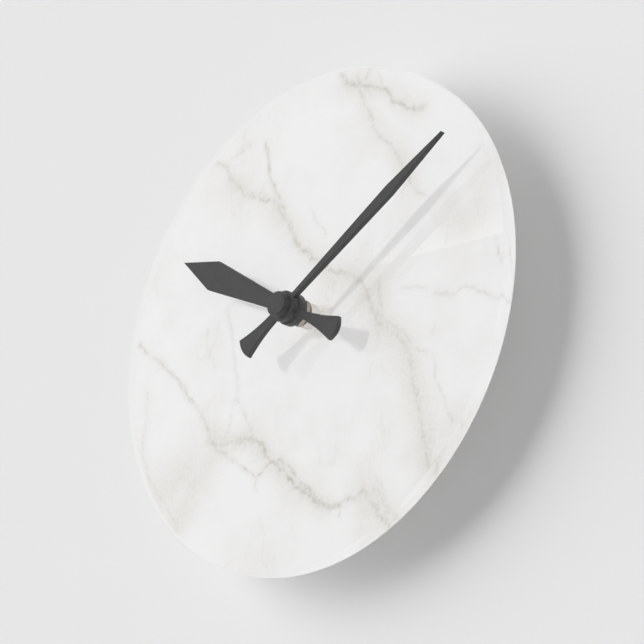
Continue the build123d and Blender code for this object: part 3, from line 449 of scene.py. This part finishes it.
# Each vein is (darkness, half width, its route across the dial in millimetres).
VEINS = [
    (0.55, 0.9, [(-99, 20), (-92, 13), (-88, 10), (-80, 2), (-73, -7), (-68, -14), (-63, -21),
                 (-60, -28), (-57, -33)]),
    (0.85, 1.1, [(-57, -33), (-54, -36), (-47, -37), (-42, -38), (-35, -39), (-31, -42),
                 (-28, -47), (-25, -51), (-20, -55), (-16, -60), (-12, -65), (-7, -69),
                 (-2, -73), (3, -77), (8, -80), (13, -81)]),
    (0.6, 0.8, [(8, -80), (13, -81), (16, -79), (21, -80), (24, -76)]),
    (0.4, 0.7, [(13, -80), (12, -84)]),
    (0.6, 0.8, [(-54, -38), (-48, -43), (-42, -48), (-37, -52), (-34, -55), (-30, -54),
                (-25, -52), (-20, -52), (-16, -56), (-12, -60), (-8, -65), (-3, -70),
                (2, -76)]),
    (0.35, 0.7, [(-34, -55), (-33, -61)]),
    (0.35, 0.7, [(-36, -36), (-30, -42)]),
    (0.3, 0.9, [(-93, -3), (-94, -12), (-95, -22), (-95, -30), (-92, -38), (-88, -46),
                (-83, -52), (-78, -60), (-76, -65)]),
    (0.28, 0.8, [(-49, 20), (-47, 12), (-46, 5), (-46, -2), (-44, -10), (-43, -18),
                 (-46, -25), (-48, -32)]),
    (0.25, 0.7, [(-60, 15), (-60, 8), (-59, 2), (-56, -3)]),
    (0.28, 0.7, [(-43, -15), (-42, -22), (-38, -30), (-35, -37)]),
    (0.7, 0.9, [(-55, 84), (-50, 81), (-48, 77), (-45, 72), (-41, 68), (-37, 65), (-33, 63),
                (-29, 61), (-25, 58), (-22, 55), (-19, 50), (-17, 46), (-15, 42), (-12, 37),
                (-9, 33), (-5, 30), (-2, 26), (3, 22)]),
    (0.6, 0.8, [(-28, 84), (-27, 78), (-26, 72), (-25, 67), (-23, 62), (-21, 57), (-18, 52),
                (-16, 46), (-13, 40), (-9, 34)]),
    (0.35, 0.7, [(-33, 63), (-28, 66), (-25, 69)]),
    (0.35, 0.7, [(-48, 83), (-42, 85), (-36, 86)]),
    (0.25, 0.8, [(-3, 47), (0, 40), (5, 34)]),
    (0.55, 0.9, [(3, 22), (8, 18), (14, 16), (20, 12), (25, 8), (27, 3)]),
    (0.4, 1.2, [(27, 3), (30, -5), (33, -11), (38, -15), (43, -20), (47, -25), (49, -30),
                (50, -37), (51, -43), (53, -50), (55, -57), (56, -64), (58, -71), (58, -77),
                (60, -82)]),
    (0.4, 0.8, [(33, 6), (34, -3), (35, -9), (40, -14), (46, -20), (50, -24)]),
    (0.4, 0.8, [(50, -26), (55, -30), (62, -33), (63, -42), (66, -50), (69, -57), (71, -62)]),
    (0.7, 0.9, [(13, 100), (16, 96), (20, 93), (25, 91), (30, 89), (35, 87), (38, 84),
                (41, 80), (45, 77), (49, 73), (54, 71), (58, 71)]),
    (0.35, 0.7, [(24, 98), (22, 94)]),
    (0.35, 0.7, [(30, 97), (27, 93)]),
    (0.35, 0.7, [(33, 94), (35, 89)]),
    (0.5, 0.8, [(22, 95), (24, 88), (27, 80), (30, 73), (34, 67), (39, 62), (43, 55),
                (45, 50), (49, 44), (53, 38), (58, 34)]),
    (0.25, 0.8, [(45, -1), (52, -3), (60, -5)]),
    (0.45, 0.8, [(62, -7), (68, -9), (72, -12), (78, -10), (83, -12), (88, -16), (93, -19),
                 (98, -22)]),
    (0.35, 0.8, [(93, 5), (97, -5), (99, -13), (100, -20)]),
    (0.5, 1.1, [(24, -77), (27, -80), (30, -85), (33, -90), (36, -95)]),
    (0.35, 0.9, [(30, -78), (34, -84), (38, -90)]),
    (0.3, 0.9, [(32, -75), (35, -82), (40, -92)]),
]
# Soft grey clouds under the veins, given the same way.
CLOUDS = [
    (0.35, 5.0, [(-78, -62), (-70, -55), (-65, -48), (-60, -43), (-52, -38)]),
    (0.3, 8.0, [(-85, -45), (-72, -42)]),
    (0.4, 4.0, [(-57, -33), (-47, -37), (-35, -39), (-25, -51), (-12, -65), (3, -77)]),
    (0.25, 4.0, [(-45, 72), (-29, 61), (-17, 46), (-5, 30), (8, 18), (25, 8)]),
    (0.4, 5.5, [(27, 3), (33, -11), (43, -20), (50, -37), (55, -57), (58, -77)]),
    (0.3, 4.0, [(20, 93), (38, 84), (54, 71)]),
    (0.25, 4.0, [(27, 80), (39, 62), (49, 44)]),
    (0.3, 4.0, [(70, 27), (74, 20), (78, 15)]),
    (0.25, 6.0, [(85, 25), (88, 33), (93, 38)]),
    (0.35, 6.0, [(24, -77), (33, -90), (37, -95)]),
    (0.25, 6.0, [(58, -80), (65, -72), (72, -65)]),
]


def near_routes(places, routes, spread):
    """How near each place is to the nearest route, 0 to 1, and how dark that route is."""
    near, dark_there = np.zeros(len(places)), np.zeros(len(places))
    for dark, width, route in routes:
        nearest = np.full(len(places), 1e9)
        for start, end in zip(np.array(route[:-1], float), np.array(route[1:], float)):
            run = end - start
            share = np.clip(((places - start) @ run) / (run @ run), 0, 1)
            gap = places - start - share[:, None] * run
            nearest = np.minimum(nearest, np.hypot(gap[:, 0], gap[:, 1]))
        here = np.exp(-(nearest / (spread * width)) ** 2)
        dark_there = np.where(here > near, dark, dark_there)
        near = np.maximum(near, here)
    return near, dark_there


# Digital print on gloss vinyl: cool white marble; its veins break up and feather out.
marble, where = material("printed_marble_picture")
near = add(marble, "Attribute", {}, "Fac", attribute_name="vein_near")
dark = add(marble, "Attribute", {}, "Fac", attribute_name="vein_dark")
haze = add(marble, "Attribute", {}, "Fac", attribute_name="haze_near")
thick = add(marble, "Attribute", {}, "Fac", attribute_name="haze_dark")
crumbs = add(marble, "TexNoise", {
    "Vector": where, "Scale": 1 / (1.6 * MM), "Detail": 6.0}, "Fac")
torn = add(marble, "Math", {0: crumbs, 1: 1.1, 2: near}, 0, operation="MULTIPLY_ADD")
core = add(marble, "MapRange", {
    "Value": torn, "From Min": 1.3, "From Max": 1.75, "To Min": 0, "To Max": CORE_SHARE
}, "Result")
veil = add(marble, "Math", {0: near, 1: 1 - CORE_SHARE, 2: core}, 0, operation="MULTIPLY_ADD")
gaps = add(marble, "TexNoise", {"Vector": where, "Scale": 1 / (5.0 * MM), "Detail": 6.0}, "Fac")
breaks = add(marble, "MapRange", {
    "Value": gaps, "From Min": 0.32, "From Max": 0.68, "To Min": 0.35, "To Max": 1.5}, "Result")
vein = add(marble, "Math", {0: veil, 1: dark}, 0, operation="MULTIPLY")
vein = add(marble, "Math", {0: vein, 1: breaks}, 0, operation="MULTIPLY")
drift = add(marble, "TexNoise", {
    "Vector": where, "Scale": 1 / (28.0 * MM), "Detail": 6.0}, "Fac")
stain = add(marble, "MapRange", {
    "Value": drift, "From Min": 0.45, "From Max": 0.75, "To Min": 0, "To Max": 0.3}, "Result")
cloud = add(marble, "Math", {0: haze, 1: thick}, 0, operation="MULTIPLY")
grainy = add(marble, "MapRange", {
    "Value": crumbs, "From Min": 0.3, "From Max": 0.7, "To Min": 0.7, "To Max": 1.6}, "Result")
cloud = add(marble, "Math", {0: cloud, 1: grainy, 2: stain}, 0, operation="MULTIPLY_ADD")
slanted = add(marble, "Mapping", {
    "Vector": where, "Rotation": (0, 0.5, 0), "Scale": (1, 1, 0.4)}, "Vector")
threads = add(marble, "TexNoise", {
    "Vector": slanted, "Scale": 1 / (20.0 * MM), "Detail": 4.0}, "Fac")
ridge = add(marble, "Math", {0: threads, 1: 0.5}, 0, operation="SUBTRACT")
ridge = add(marble, "Math", {0: ridge}, 0, operation="ABSOLUTE")
ridge = add(marble, "MapRange", {
    "Value": ridge, "From Min": 0, "From Max": 0.012, "To Min": THREAD_DARK, "To Max": 0
}, "Result")
patches = add(marble, "MapRange", {
    "Value": drift, "From Min": 0.48, "From Max": 0.6, "To Min": 0, "To Max": 1}, "Result")
ridge = add(marble, "Math", {0: ridge, 1: patches}, 0, operation="MULTIPLY")
vein = add(marble, "Math", {0: vein, 1: ridge}, 0, operation="ADD", use_clamp=True)
ground = add(marble, "Mix", {
    0: cloud, 6: linear(MARBLE_WHITE), 7: linear(HAZE_GREY)}, 2, data_type="RGBA")
colour = add(marble, "Mix", {0: vein, 6: ground, 7: linear(MARBLE_GREY)}, data_type="RGBA")
shader = add(marble, "BsdfPrincipled", {
    "Base Color": colour.outputs[2], "Roughness": 1.0, "Specular IOR Level": 0.0}, "BSDF")
add(marble, "OutputMaterial", {"Surface": shader})

# Vinyl film: plain white with a faint orange peel.
vinyl, where = material("white_vinyl_film")
peel = add(vinyl, "TexNoise", {"Vector": where, "Scale": 1 / (1.2 * MM)}, "Fac")
blotch = add(vinyl, "TexNoise", {"Vector": where, "Scale": 1 / (30.0 * MM)}, "Fac")
tint = add(vinyl, "Mix", {
    0: blotch, 6: linear(FILM_WHITE), 7: linear(FILM_SHADE)}, 2, data_type="RGBA")
rough = add(vinyl, "MapRange", {"Value": peel, "To Min": 0.3, "To Max": 0.45}, "Result")
relief = add(vinyl, "Bump", {"Height": peel, "Distance": 0.02 * MM}, "Normal")
shader = add(vinyl, "BsdfPrincipled", {
    "Base Color": tint, "Roughness": rough, "Normal": relief}, "BSDF")
add(vinyl, "OutputMaterial", {"Surface": shader})

bm = bmesh.new()
bmesh.ops.create_grid(bm, x_segments=WEAVE, y_segments=WEAVE, size=1)
for v in bm.verts:                     # a square net drawn out to a round one
    x, z = v.co.x, v.co.y
    v.co = Vector((x * sqrt(1 - z * z / 2), 0, z * sqrt(1 - x * x / 2))) * PRINT_RADIUS * MM
    v.co.y = -PRINT_FRONT * MM
inside = [f for f in bm.faces
          if Vector((f.calc_center_median().x, f.calc_center_median().z)).length < BUSH_HOLE * MM]
bmesh.ops.delete(bm, geom=inside, context="FACES")
rims = [e for e in bm.edges if e.is_boundary]
for v in {v for e in rims for v in e.verts}:
    reach = Vector((v.co.x, v.co.z)).length
    if reach < 2 * BUSH_HOLE * MM:
        v.co.x, v.co.z = v.co.x * BUSH_HOLE * MM / reach, v.co.z * BUSH_HOLE * MM / reach
front_faces = set(bm.faces)
pulled = bmesh.ops.extrude_edge_only(bm, edges=rims)["geom"]
back_rims = [e for e in pulled if isinstance(e, bmesh.types.BMEdge) and e.is_boundary]
bmesh.ops.translate(bm, verts=list({v for e in back_rims for v in e.verts}),
                    vec=(0, (PRINT_FRONT - PRINT_BACK) * MM, 0))
bmesh.ops.triangle_fill(bm, edges=back_rims, use_beauty=True)
for f in bm.faces:
    f.material_index = 0 if f in front_faces else 1
picture = piece(bm, "marble_picture", marble, "case", "marble_print", "dial_print")
picture.data.materials.append(vinyl)

corners = np.zeros(len(picture.data.vertices) * 3)
picture.data.vertices.foreach_get("co", corners)
places = corners.reshape(-1, 3)[:, [0, 2]] / MM
sway = np.array([noise.noise_vector((x / 9, z / 9, 0.5)) * 1.3
                 + noise.noise_vector((x / 3, z / 3, 7.5)) * 0.9 for x, z in places])
places = places + sway[:, :2]
for name, routes, spread in (("vein", VEINS, VEIL_WIDTH), ("haze", CLOUDS, CLOUD_WIDTH)):
    for kind, values in zip(("_near", "_dark"), near_routes(places, routes, spread)):
        layer = picture.data.attributes.new(name + kind, "FLOAT", "POINT")
        layer.data.foreach_set("value", values.astype(np.float32))


# ------------------------------------------------------------------- acrylic disc
# Quarter-inch clear cast acrylic, laser-cut round and flame-polished, with a slight
# bevel round its front edge. It refracts: its rim shows the picture again from the side.

DIAL_RADIUS = 101.58
DIAL_BACK, DIAL_FRONT = 19.2, 25.55
DIAL_BEVEL = 0.35
DIAL_STEPS = 720              # sides of the circle
WATER_CLEAR = "#ffffff"
ACRYLIC_IOR = 1.49

# Cast acrylic: water-clear, IOR 1.49, with faint hazy handling marks.
clear_acrylic, where = material("polished_cast_acrylic")
marks = add(clear_acrylic, "TexNoise", {
    "Vector": where, "Scale": 1 / (12.0 * MM), "Detail": 6.0}, "Fac")
rough = add(clear_acrylic, "MapRange", {
    "Value": marks, "From Min": 0.5, "From Max": 0.8, "To Min": 0.0, "To Max": 0.02}, "Result")
shader = add(clear_acrylic, "BsdfPrincipled", {
    "Base Color": linear(WATER_CLEAR), "Transmission Weight": 1.0, "IOR": ACRYLIC_IOR,
    "Roughness": rough}, "BSDF")
add(clear_acrylic, "OutputMaterial", {"Surface": shader})

# Flame-polished edge: as clear as the faces, and seen through when looked at from inside.
polished_edge, where = material("flame_polished_acrylic_edge")
ripple = add(polished_edge, "TexNoise", {"Vector": where, "Scale": 1 / (6.0 * MM)}, "Fac")
inside = add(polished_edge, "NewGeometry", {}, "Backfacing")
rough = add(polished_edge, "MapRange", {
    "Value": ripple, "From Min": 0.5, "From Max": 0.8, "To Min": 0.0, "To Max": 0.03}, "Result")
from_outside = add(polished_edge, "MapRange", {
    "Value": inside, "To Min": 1, "To Max": 0}, "Result")
shader = add(polished_edge, "BsdfPrincipled", {
    "Base Color": linear(WATER_CLEAR), "Transmission Weight": 1.0, "IOR": ACRYLIC_IOR,
    "Roughness": rough, "Alpha": from_outside}, "BSDF")
add(polished_edge, "OutputMaterial", {"Surface": shader})

bm = turned([(BUSH_HOLE, DIAL_BACK), (DIAL_RADIUS, DIAL_BACK),
             (DIAL_RADIUS, DIAL_FRONT - DIAL_BEVEL),
             (DIAL_RADIUS - 0.3 * DIAL_BEVEL, DIAL_FRONT - 0.3 * DIAL_BEVEL),
             (DIAL_RADIUS - DIAL_BEVEL, DIAL_FRONT), (BUSH_HOLE, DIAL_FRONT)], DIAL_STEPS)
for f in bm.faces:
    middle = f.calc_center_median()
    at_rim = Vector((middle.x, middle.z)).length > (DIAL_RADIUS - DIAL_BEVEL) * MM
    f.material_index = 1 if at_rim else 0
disc = piece(bm, "acrylic_disc", clear_acrylic, "case", "clear_acrylic", "dial_acrylic",
             crease=10)
disc.data.materials.append(polished_edge)
disc.visible_shadow = False
disc.visible_diffuse = False


# ------------------------------------------------------------- bush and its stack
# A threaded brass bush comes through the dial. A white nylon spacer, a washer and a
# thin hexagon nut, both nickel plated, clamp the case, hanger and dial together.

SPACER_RADIUS, SPACER_END = 5.0, 30.2
WASHER_RADIUS, WASHER_END = 5.3, 30.7
BUSH_RADIUS, BUSH_END = 4.0, 33.6
BUSH_BORE = 2.55
THREAD_PITCH = 0.75
BRASS_LIGHT, BRASS_DARK = "#c9a860", "#a88642"
NYLON_WHITE, NYLON_CLOUD = "#fdfdfb", "#f8f8f4"

# Turned brass: yellow metal with fine tool rings across the axis.
turned_brass, where = material("turned_brass")
tool = add(turned_brass, "TexNoise", {"Vector": where, "Scale": 1 / (0.5 * MM)}, "Fac")
tint = add(turned_brass, "Mix", {
    0: tool, 6: linear(BRASS_LIGHT), 7: linear(BRASS_DARK)}, 2, data_type="RGBA")
rough = add(turned_brass, "MapRange", {"Value": tool, "To Min": 0.2, "To Max": 0.35}, "Result")
shader = add(turned_brass, "BsdfPrincipled", {
    "Base Color": tint, "Metallic": 1.0, "Roughness": rough}, "BSDF")
add(turned_brass, "OutputMaterial", {"Surface": shader})
dress(turned_brass, "cannon_pinion")

# Natural nylon: milky white with a soft sheen.
white_nylon, where = material("turned_white_nylon")
cloud = add(white_nylon, "TexNoise", {"Vector": where, "Scale": 1 / (1.8 * MM)}, "Fac")
tint = add(white_nylon, "Mix", {
    0: cloud, 6: linear(NYLON_WHITE), 7: linear(NYLON_CLOUD)}, 2, data_type="RGBA")
rough = add(white_nylon, "MapRange", {"Value": cloud, "To Min": 0.35, "To Max": 0.5}, "Result")
shader = add(white_nylon, "BsdfPrincipled", {
    "Base Color": tint, "Roughness": rough, "Subsurface Weight": 1.0,
    "Subsurface Radius": (1, 1, 1), "Subsurface Scale": 2 * MM}, "BSDF")
add(white_nylon, "OutputMaterial", {"Surface": shader})

bm = turned([(BUSH_HOLE, DIAL_FRONT), (SPACER_RADIUS, DIAL_FRONT),
             (SPACER_RADIUS, SPACER_END), (BUSH_HOLE, SPACER_END)], 96)
round_edges(bm, 0.15)
piece(bm, "nylon_spacer", white_nylon, "case", "white_nylon", "spacer_ring")

bm = turned([(BUSH_HOLE, SPACER_END), (WASHER_RADIUS, SPACER_END),
             (WASHER_RADIUS, WASHER_END), (BUSH_HOLE, WASHER_END)], 96)
round_edges(bm, 0.1)
piece(bm, "plated_washer", nickel_plate, "case", "nickel_plate", "flat_washer")

piece(softened("hex_nut", 0.12), "plated_nut", nickel_plate, "case", "nickel_plate",
      "hex_nut")

crest, root = BUSH_RADIUS, BUSH_RADIUS - 0.35
case_floor = 15.2
profile = [(BUSH_BORE, case_floor - 1.3), (5.2, case_floor - 1.3), (5.2, case_floor),
           (crest, case_floor)]
depth = case_floor + THREAD_PITCH
while depth < BUSH_END - THREAD_PITCH:
    profile += [(root, depth), (crest, depth + THREAD_PITCH / 2)]
    depth += THREAD_PITCH
profile += [(root, BUSH_END), (BUSH_BORE, BUSH_END)]
piece(turned(profile, 64), "threaded_brass_bush", turned_brass, "case", "brass_bush",
      "threaded_bush")


# -------------------------------------------------------------------------- hands
# Two lance hands with fan-shaped tails, cut from black acrylic sheet with lightly
# rounded edges, and pushed on to the hour tube and the minute shaft. A cap holds them.

HAND_BLACK, HAND_DUST = "#484848", "#4f4f4f"
EDGE_ROUNDING = 0.16
HOUR_ANGLE, MINUTE_ANGLE = 302.8, 61.6
HOUR = {"back": 35.5, "front": 37.5, "hub": 6.5, "length": 69.0, "shoulder": 49.4,
        "wide": 6.0, "root": 1.95, "tip": 0.0, "tail": 30.0, "corner": 28.0,
        "fan": ((0, 1.7), (14.0, 2.1), (28.0, 4.85))}
MINUTE = {"back": 39.0, "front": 41.0, "hub": 6.15, "length": 95.7, "shoulder": 64.0,
          "wide": 2.4, "root": 1.0, "tip": 0.3, "tail": 25.0, "corner": 24.0,
          "fan": ((0, 1.95), (14.0, 2.4), (24.0, 4.65))}
HOUR_HUB_BACK = 34.5
TUBE_RADIUS = 2.5
CAP_RADIUS, CAP_BACK, CAP_FRONT = 4.95, 41.0, 44.6

# Satin black acrylic: deep black under a soft sheen, with a trace of dust.
satin_black, where = material("satin_black_acrylic")
dust = add(satin_black, "TexNoise", {
    "Vector": where, "Scale": 1 / (1.4 * MM), "Detail": 5.0}, "Fac")
dusty = add(satin_black, "MapRange", {
    "Value": dust, "From Min": 0.45, "From Max": 0.7, "To Min": 0, "To Max": 1}, "Result")
tint = add(satin_black, "Mix", {
    0: dusty, 6: linear(HAND_BLACK), 7: linear(HAND_DUST)}, 2, data_type="RGBA")
rough = add(satin_black, "MapRange", {"Value": dust, "To Min": 0.36, "To Max": 0.5}, "Result")
relief = add(satin_black, "Bump", {"Height": dust, "Distance": 0.006 * MM}, "Normal")
shader = add(satin_black, "BsdfPrincipled", {
    "Base Color": tint, "Roughness": rough, "Normal": relief}, "BSDF")
add(satin_black, "OutputMaterial", {"Surface": shader})


def through(along, places):
    """The value at a distance, on the smooth curve through three (distance, value) places."""
    total = 0
    for at, value in places:
        for other, _ in places:
            if other != at:
                value *= (along - other) / (at - other)
        total += value
    return total


def hand_outline(hand):
    """The right-hand half of a hand's outline from its point down to its tail."""
    slope = (hand["wide"] - hand["root"]) / hand["shoulder"]
    blade = asin((hand["root"] + slope * hand["hub"]) / hand["hub"])
    fan = asin(through(hand["hub"], hand["fan"]) / hand["hub"])
    half = [(hand["tip"], hand["length"]), (hand["wide"], hand["shoulder"])]
    for step in range(25):
        turn = blade + (pi - fan - blade) * step / 24
        half.append((hand["hub"] * sin(turn), hand["hub"] * cos(turn)))
    for step in range(1, 17):
        along = hand["hub"] + (hand["corner"] - hand["hub"]) * step / 16
        half.append((through(along, hand["fan"]), -along))
    width = hand["fan"][2][1]
    for step in range(1, 7):
        across = width * (1 - step / 6)
        drop = (hand["tail"] - hand["corner"]) * (1 - (across / width) ** 2)
        half.append((across, -hand["corner"] - drop))
    return half


def hand_plate(hand, angle):
    """A hand cut from sheet: its outline, mirrored, given its thickness and turned."""
    half = hand_outline(hand)
    other = [(-across, along) for across, along in reversed(half) if across > 0.001]
    bm = bmesh.new()
    face = bm.faces.new([bm.verts.new((across * MM, -hand["back"] * MM, along * MM))
                         for across, along in half + other])
    pulled = bmesh.ops.extrude_face_region(bm, geom=[face])["geom"]
    bmesh.ops.translate(bm, verts=[v for v in pulled if isinstance(v, bmesh.types.BMVert)],
                        vec=(0, (hand["back"] - hand["front"]) * MM, 0))
    bmesh.ops.recalc_face_normals(bm, faces=bm.faces)
    rims = [e for e in bm.edges if abs(e.verts[0].co.y - e.verts[1].co.y) < 0.1 * MM]
    bmesh.ops.bevel(bm, geom=rims, offset=EDGE_ROUNDING * MM, offset_type="OFFSET",
                    segments=3, profile=0.5, affect="EDGES", material=-1, clamp_overlap=True)
    bmesh.ops.rotate(bm, verts=bm.verts, cent=(0, 0, 0),
                     matrix=Matrix.Rotation(radians(angle), 3, "Y"))
    return bm


bm = hand_plate(HOUR, HOUR_ANGLE)
hub = turned([(TUBE_RADIUS, HOUR_HUB_BACK), (HOUR["hub"], HOUR_HUB_BACK),
              (HOUR["hub"], HOUR["back"] + 0.3), (TUBE_RADIUS, HOUR["back"] + 0.3)], 96)
round_edges(hub, EDGE_ROUNDING)
joined = bpy.data.meshes.new("hour_hub")
hub.to_mesh(joined)
hub.free()
bm.from_mesh(joined)
bpy.data.meshes.remove(joined)
piece(bm, "hour_hand_plate", satin_black, "hour_shaft", "black_hands", "hour_hand")
piece(hand_plate(MINUTE, MINUTE_ANGLE), "minute_hand_plate", satin_black, "minute_shaft",
      "black_hands", "minute_hand")

bm = turned([(0, CAP_BACK), (CAP_RADIUS, CAP_BACK), (CAP_RADIUS, CAP_FRONT),
             (0, CAP_FRONT)], 96, ring=False)
round_edges(bm, 0.5, 4)
piece(bm, "cap_nut", satin_black, "minute_shaft", "black_hands", "hand_cap")


# ------------------------------------------------------------------ wall and light
# A plain painted wall, which shows only from its front, so that the clock's back can be
# looked at. Soft boxes stand in front, at the upper left and behind; a lamp of its own
# lights the wall, and two glowing cards give the acrylic its sheen.

WALL_REACH = 4.0
WALL_GAP = 0.1                # keeps the wall's face off the cover's, which rests on it
WALL_PAINT, WALL_SHADE = "#f1f1f1", "#f0f0f0"
VIEW = Vector((0.6457, -0.6502, -0.4003))
VIEW_DISTANCE = 2.55
LENS, FILM_WIDTH, LENS_SHIFT = 372.2, 36, -0.0009
AMBIENT = 0.3
FRONT_BOX, SIDE_BOX, REAR_BOX = (-0.09, -1, 0.09), (-1.5, -1, 0.75), (0.5, 1, 0.7)
FRONT_SPREAD, FRONT_POWER = 4.0, 0.48    # degrees across, then strength
FILL_SPREAD, FILL_POWER = 30.0, 0.22
WALL_SPREAD, WALL_POWER = 3.0, 0.45
SIDE_SPREAD, SIDE_POWER = 60.0, 2.9
REAR_SPREAD, REAR_POWER = 20.0, 1.6
CARD_AT, CARD_REACH = (-0.988, -1.016, 0.6125), 0.3
CARD_LEFT, CARD_RIGHT, CARD_LOW, CARD_HIGH = 0.85, 0.0, 0.0, 0.5
STRIP_AT, STRIP_TILT = (-0.9288, -1.01, 0.6258), 6.3
STRIP_LENGTH, STRIP_HEIGHT, STRIP_GLOW = 0.16, 0.02, 0.85
BACKDROP_GREY = "#e7e7e7"
DIAL_MIDDLE = Vector((0, -PRINT_FRONT * MM, 0))

# Emulsion paint: even white with a faint roller stipple.
paint, where = material("painted_plaster")
stipple = add(paint, "TexNoise", {"Vector": where, "Scale": 1 / (2.5 * MM)}, "Fac")
blotch = add(paint, "TexNoise", {"Vector": where, "Scale": 1 / (40.0 * MM)}, "Fac")
tint = add(paint, "Mix", {
    0: blotch, 6: linear(WALL_PAINT), 7: linear(WALL_SHADE)}, 2, data_type="RGBA")
relief = add(paint, "Bump", {"Height": stipple, "Distance": 0.01 * MM}, "Normal")
skin = add(paint, "BsdfPrincipled", {
    "Base Color": tint, "Roughness": 0.9, "Specular IOR Level": 0.1, "Normal": relief})
behind = add(paint, "NewGeometry", {}, "Backfacing")
clear = add(paint, "BsdfTransparent", {})
side = add(paint, "MixShader", {0: behind, 1: skin.outputs["BSDF"], 2: clear.outputs["BSDF"]})
add(paint, "OutputMaterial", {"Surface": side.outputs["Shader"]})

bm = bmesh.new()
bmesh.ops.create_grid(bm, x_segments=1, y_segments=1, size=WALL_REACH,
                      matrix=Matrix.Translation((0, WALL_GAP * MM, 0))
                      @ Matrix.Rotation(pi / 2, 4, "X"))
wall = shaped(bm, "wall", paint)

shown = bpy.data.collections.new("clock")
dial_and_case = bpy.data.collections.new("dial_and_case")
hands = bpy.data.collections.new("hands")
opaque = bpy.data.collections.new("clock_without_acrylic")
plain_wall = bpy.data.collections.new("plain_wall")
plain_wall.objects.link(wall)
for thing in bpy.data.objects:
    if thing.type == "MESH" and thing is not wall:
        shown.objects.link(thing)
        if thing is not disc:
            opaque.objects.link(thing)
        if thing.name in ("marble_picture", "movement_case", "snap_in_cover", "hanger_plate"):
            dial_and_case.objects.link(thing)
        if thing.name in ("hour_hand_plate", "minute_hand_plate", "cap_nut"):
            hands.objects.link(thing)


def lamp(name, toward, spread, strength, lights=None, shadows=None):
    """A distant soft box in a direction from the dial; spread is its width in degrees."""
    light = bpy.data.lights.new(name, "SUN")
    light.angle = radians(spread)
    light.energy = strength
    made = bpy.data.objects.new(name, light)
    bpy.context.scene.collection.objects.link(made)
    made.rotation_euler = Vector(toward).to_track_quat("Z", "Y").to_euler()
    made.light_linking.receiver_collection = lights
    made.light_linking.blocker_collection = shadows
    made.visible_transmission = made.visible_glossy = False
    return made


# Of the front lamps only front_box throws a shadow, the hands' on the dial.
lamp("front_box", FRONT_BOX, FRONT_SPREAD, FRONT_POWER, lights=opaque, shadows=hands)
lamp("front_fill", FRONT_BOX, FILL_SPREAD, FILL_POWER, lights=opaque, shadows=plain_wall)
lamp("wall_fill", FRONT_BOX, WALL_SPREAD, WALL_POWER, lights=plain_wall, shadows=plain_wall)
lamp("upper_left_box", SIDE_BOX, SIDE_SPREAD, SIDE_POWER, shadows=dial_and_case)
rear_box = lamp("rear_box", REAR_BOX, REAR_SPREAD, REAR_POWER, lights=opaque, shadows=shown)
rear_box.visible_glossy = True
rear_box.data.cycles.max_bounces = 0      # it doesn't brighten the wall by way of the clock

# A large glowing card out in front, seen only as a sheen on the clock. It is brightest
# at its top left corner; a narrow strip at its right, with one crisp lower edge, shows
# as the bright wedge on the acrylic.
soft_box, where = material("glowing_soft_box")
place = add(soft_box, "SeparateXYZ", {"Vector": where})
across = add(soft_box, "MapRange", {
    "Value": place.outputs["X"], "From Min": -CARD_REACH, "From Max": CARD_REACH,
    "To Min": CARD_LEFT, "To Max": CARD_RIGHT}, "Result")
upward = add(soft_box, "MapRange", {
    "Value": place.outputs["Z"], "From Min": -CARD_REACH, "From Max": CARD_REACH,
    "To Min": CARD_LOW, "To Max": CARD_HIGH}, "Result")
glow = add(soft_box, "Math", {0: upward, 1: across}, 0)
light = add(soft_box, "Emission", {"Strength": glow})
add(soft_box, "OutputMaterial", {"Surface": light.outputs["Emission"]})

strip_glow, where = material("glowing_strip")
place = add(strip_glow, "SeparateXYZ", {"Vector": where})
above = add(strip_glow, "MapRange", {
    "Value": place.outputs["Z"], "From Min": 0, "From Max": STRIP_HEIGHT, "To Min": STRIP_GLOW,
    "To Max": 0}, "Result")
light = add(strip_glow, "Emission", {"Strength": above})
bare = add(strip_glow, "BsdfTransparent", {})
both = add(strip_glow, "AddShader", {0: light.outputs["Emission"], 1: bare.outputs["BSDF"]})
add(strip_glow, "OutputMaterial", {"Surface": both.outputs["Shader"]})


def card(name, finish, corners, at):
    """A card seen only in reflections; its corners are X and Z round its own middle."""
    bm = bmesh.new()
    bm.faces.new([bm.verts.new((x, 0, z)) for x, z in corners])
    made = shaped(bm, name, finish)
    made.location = at
    made.visible_camera = made.visible_diffuse = made.visible_shadow = False
    made.visible_transmission = False
    return made


card("soft_box", soft_box, [(-CARD_REACH, -CARD_REACH), (CARD_REACH, -CARD_REACH),
                            (CARD_REACH, CARD_REACH), (-CARD_REACH, CARD_REACH)], CARD_AT)
strip = card("soft_box_strip", strip_glow,
             [(0, 0), (STRIP_LENGTH, 0), (STRIP_LENGTH, STRIP_HEIGHT), (0, STRIP_HEIGHT)],
             STRIP_AT)
strip.rotation_euler.y = radians(STRIP_TILT)

world = bpy.data.worlds.new("room_light")
bpy.context.scene.world = world
world.use_nodes = True
room = world.node_tree.nodes["Background"]
room.inputs["Color"].default_value = (AMBIENT, AMBIENT, AMBIENT, 1)
ray = add(world, "LightPath", {}, "Is Camera Ray")
seen = add(world, "Background", {"Color": linear(BACKDROP_GREY)}, "Background")
choice = add(world, "MixShader", {0: ray, 1: room.outputs["Background"], 2: seen}, "Shader")
world.node_tree.links.new(choice, world.node_tree.nodes["World Output"].inputs["Surface"])

camera = bpy.data.objects.new("camera", bpy.data.cameras.new("camera"))
bpy.context.scene.collection.objects.link(camera)
camera.location = DIAL_MIDDLE + VIEW * VIEW_DISTANCE
camera.rotation_euler = VIEW.to_track_quat("Z", "Y").to_euler()
camera.data.lens = LENS
camera.data.sensor_width = FILM_WIDTH
camera.data.shift_x = LENS_SHIFT
bpy.context.scene.camera = camera
bpy.context.scene.view_settings.view_transform = "Standard"
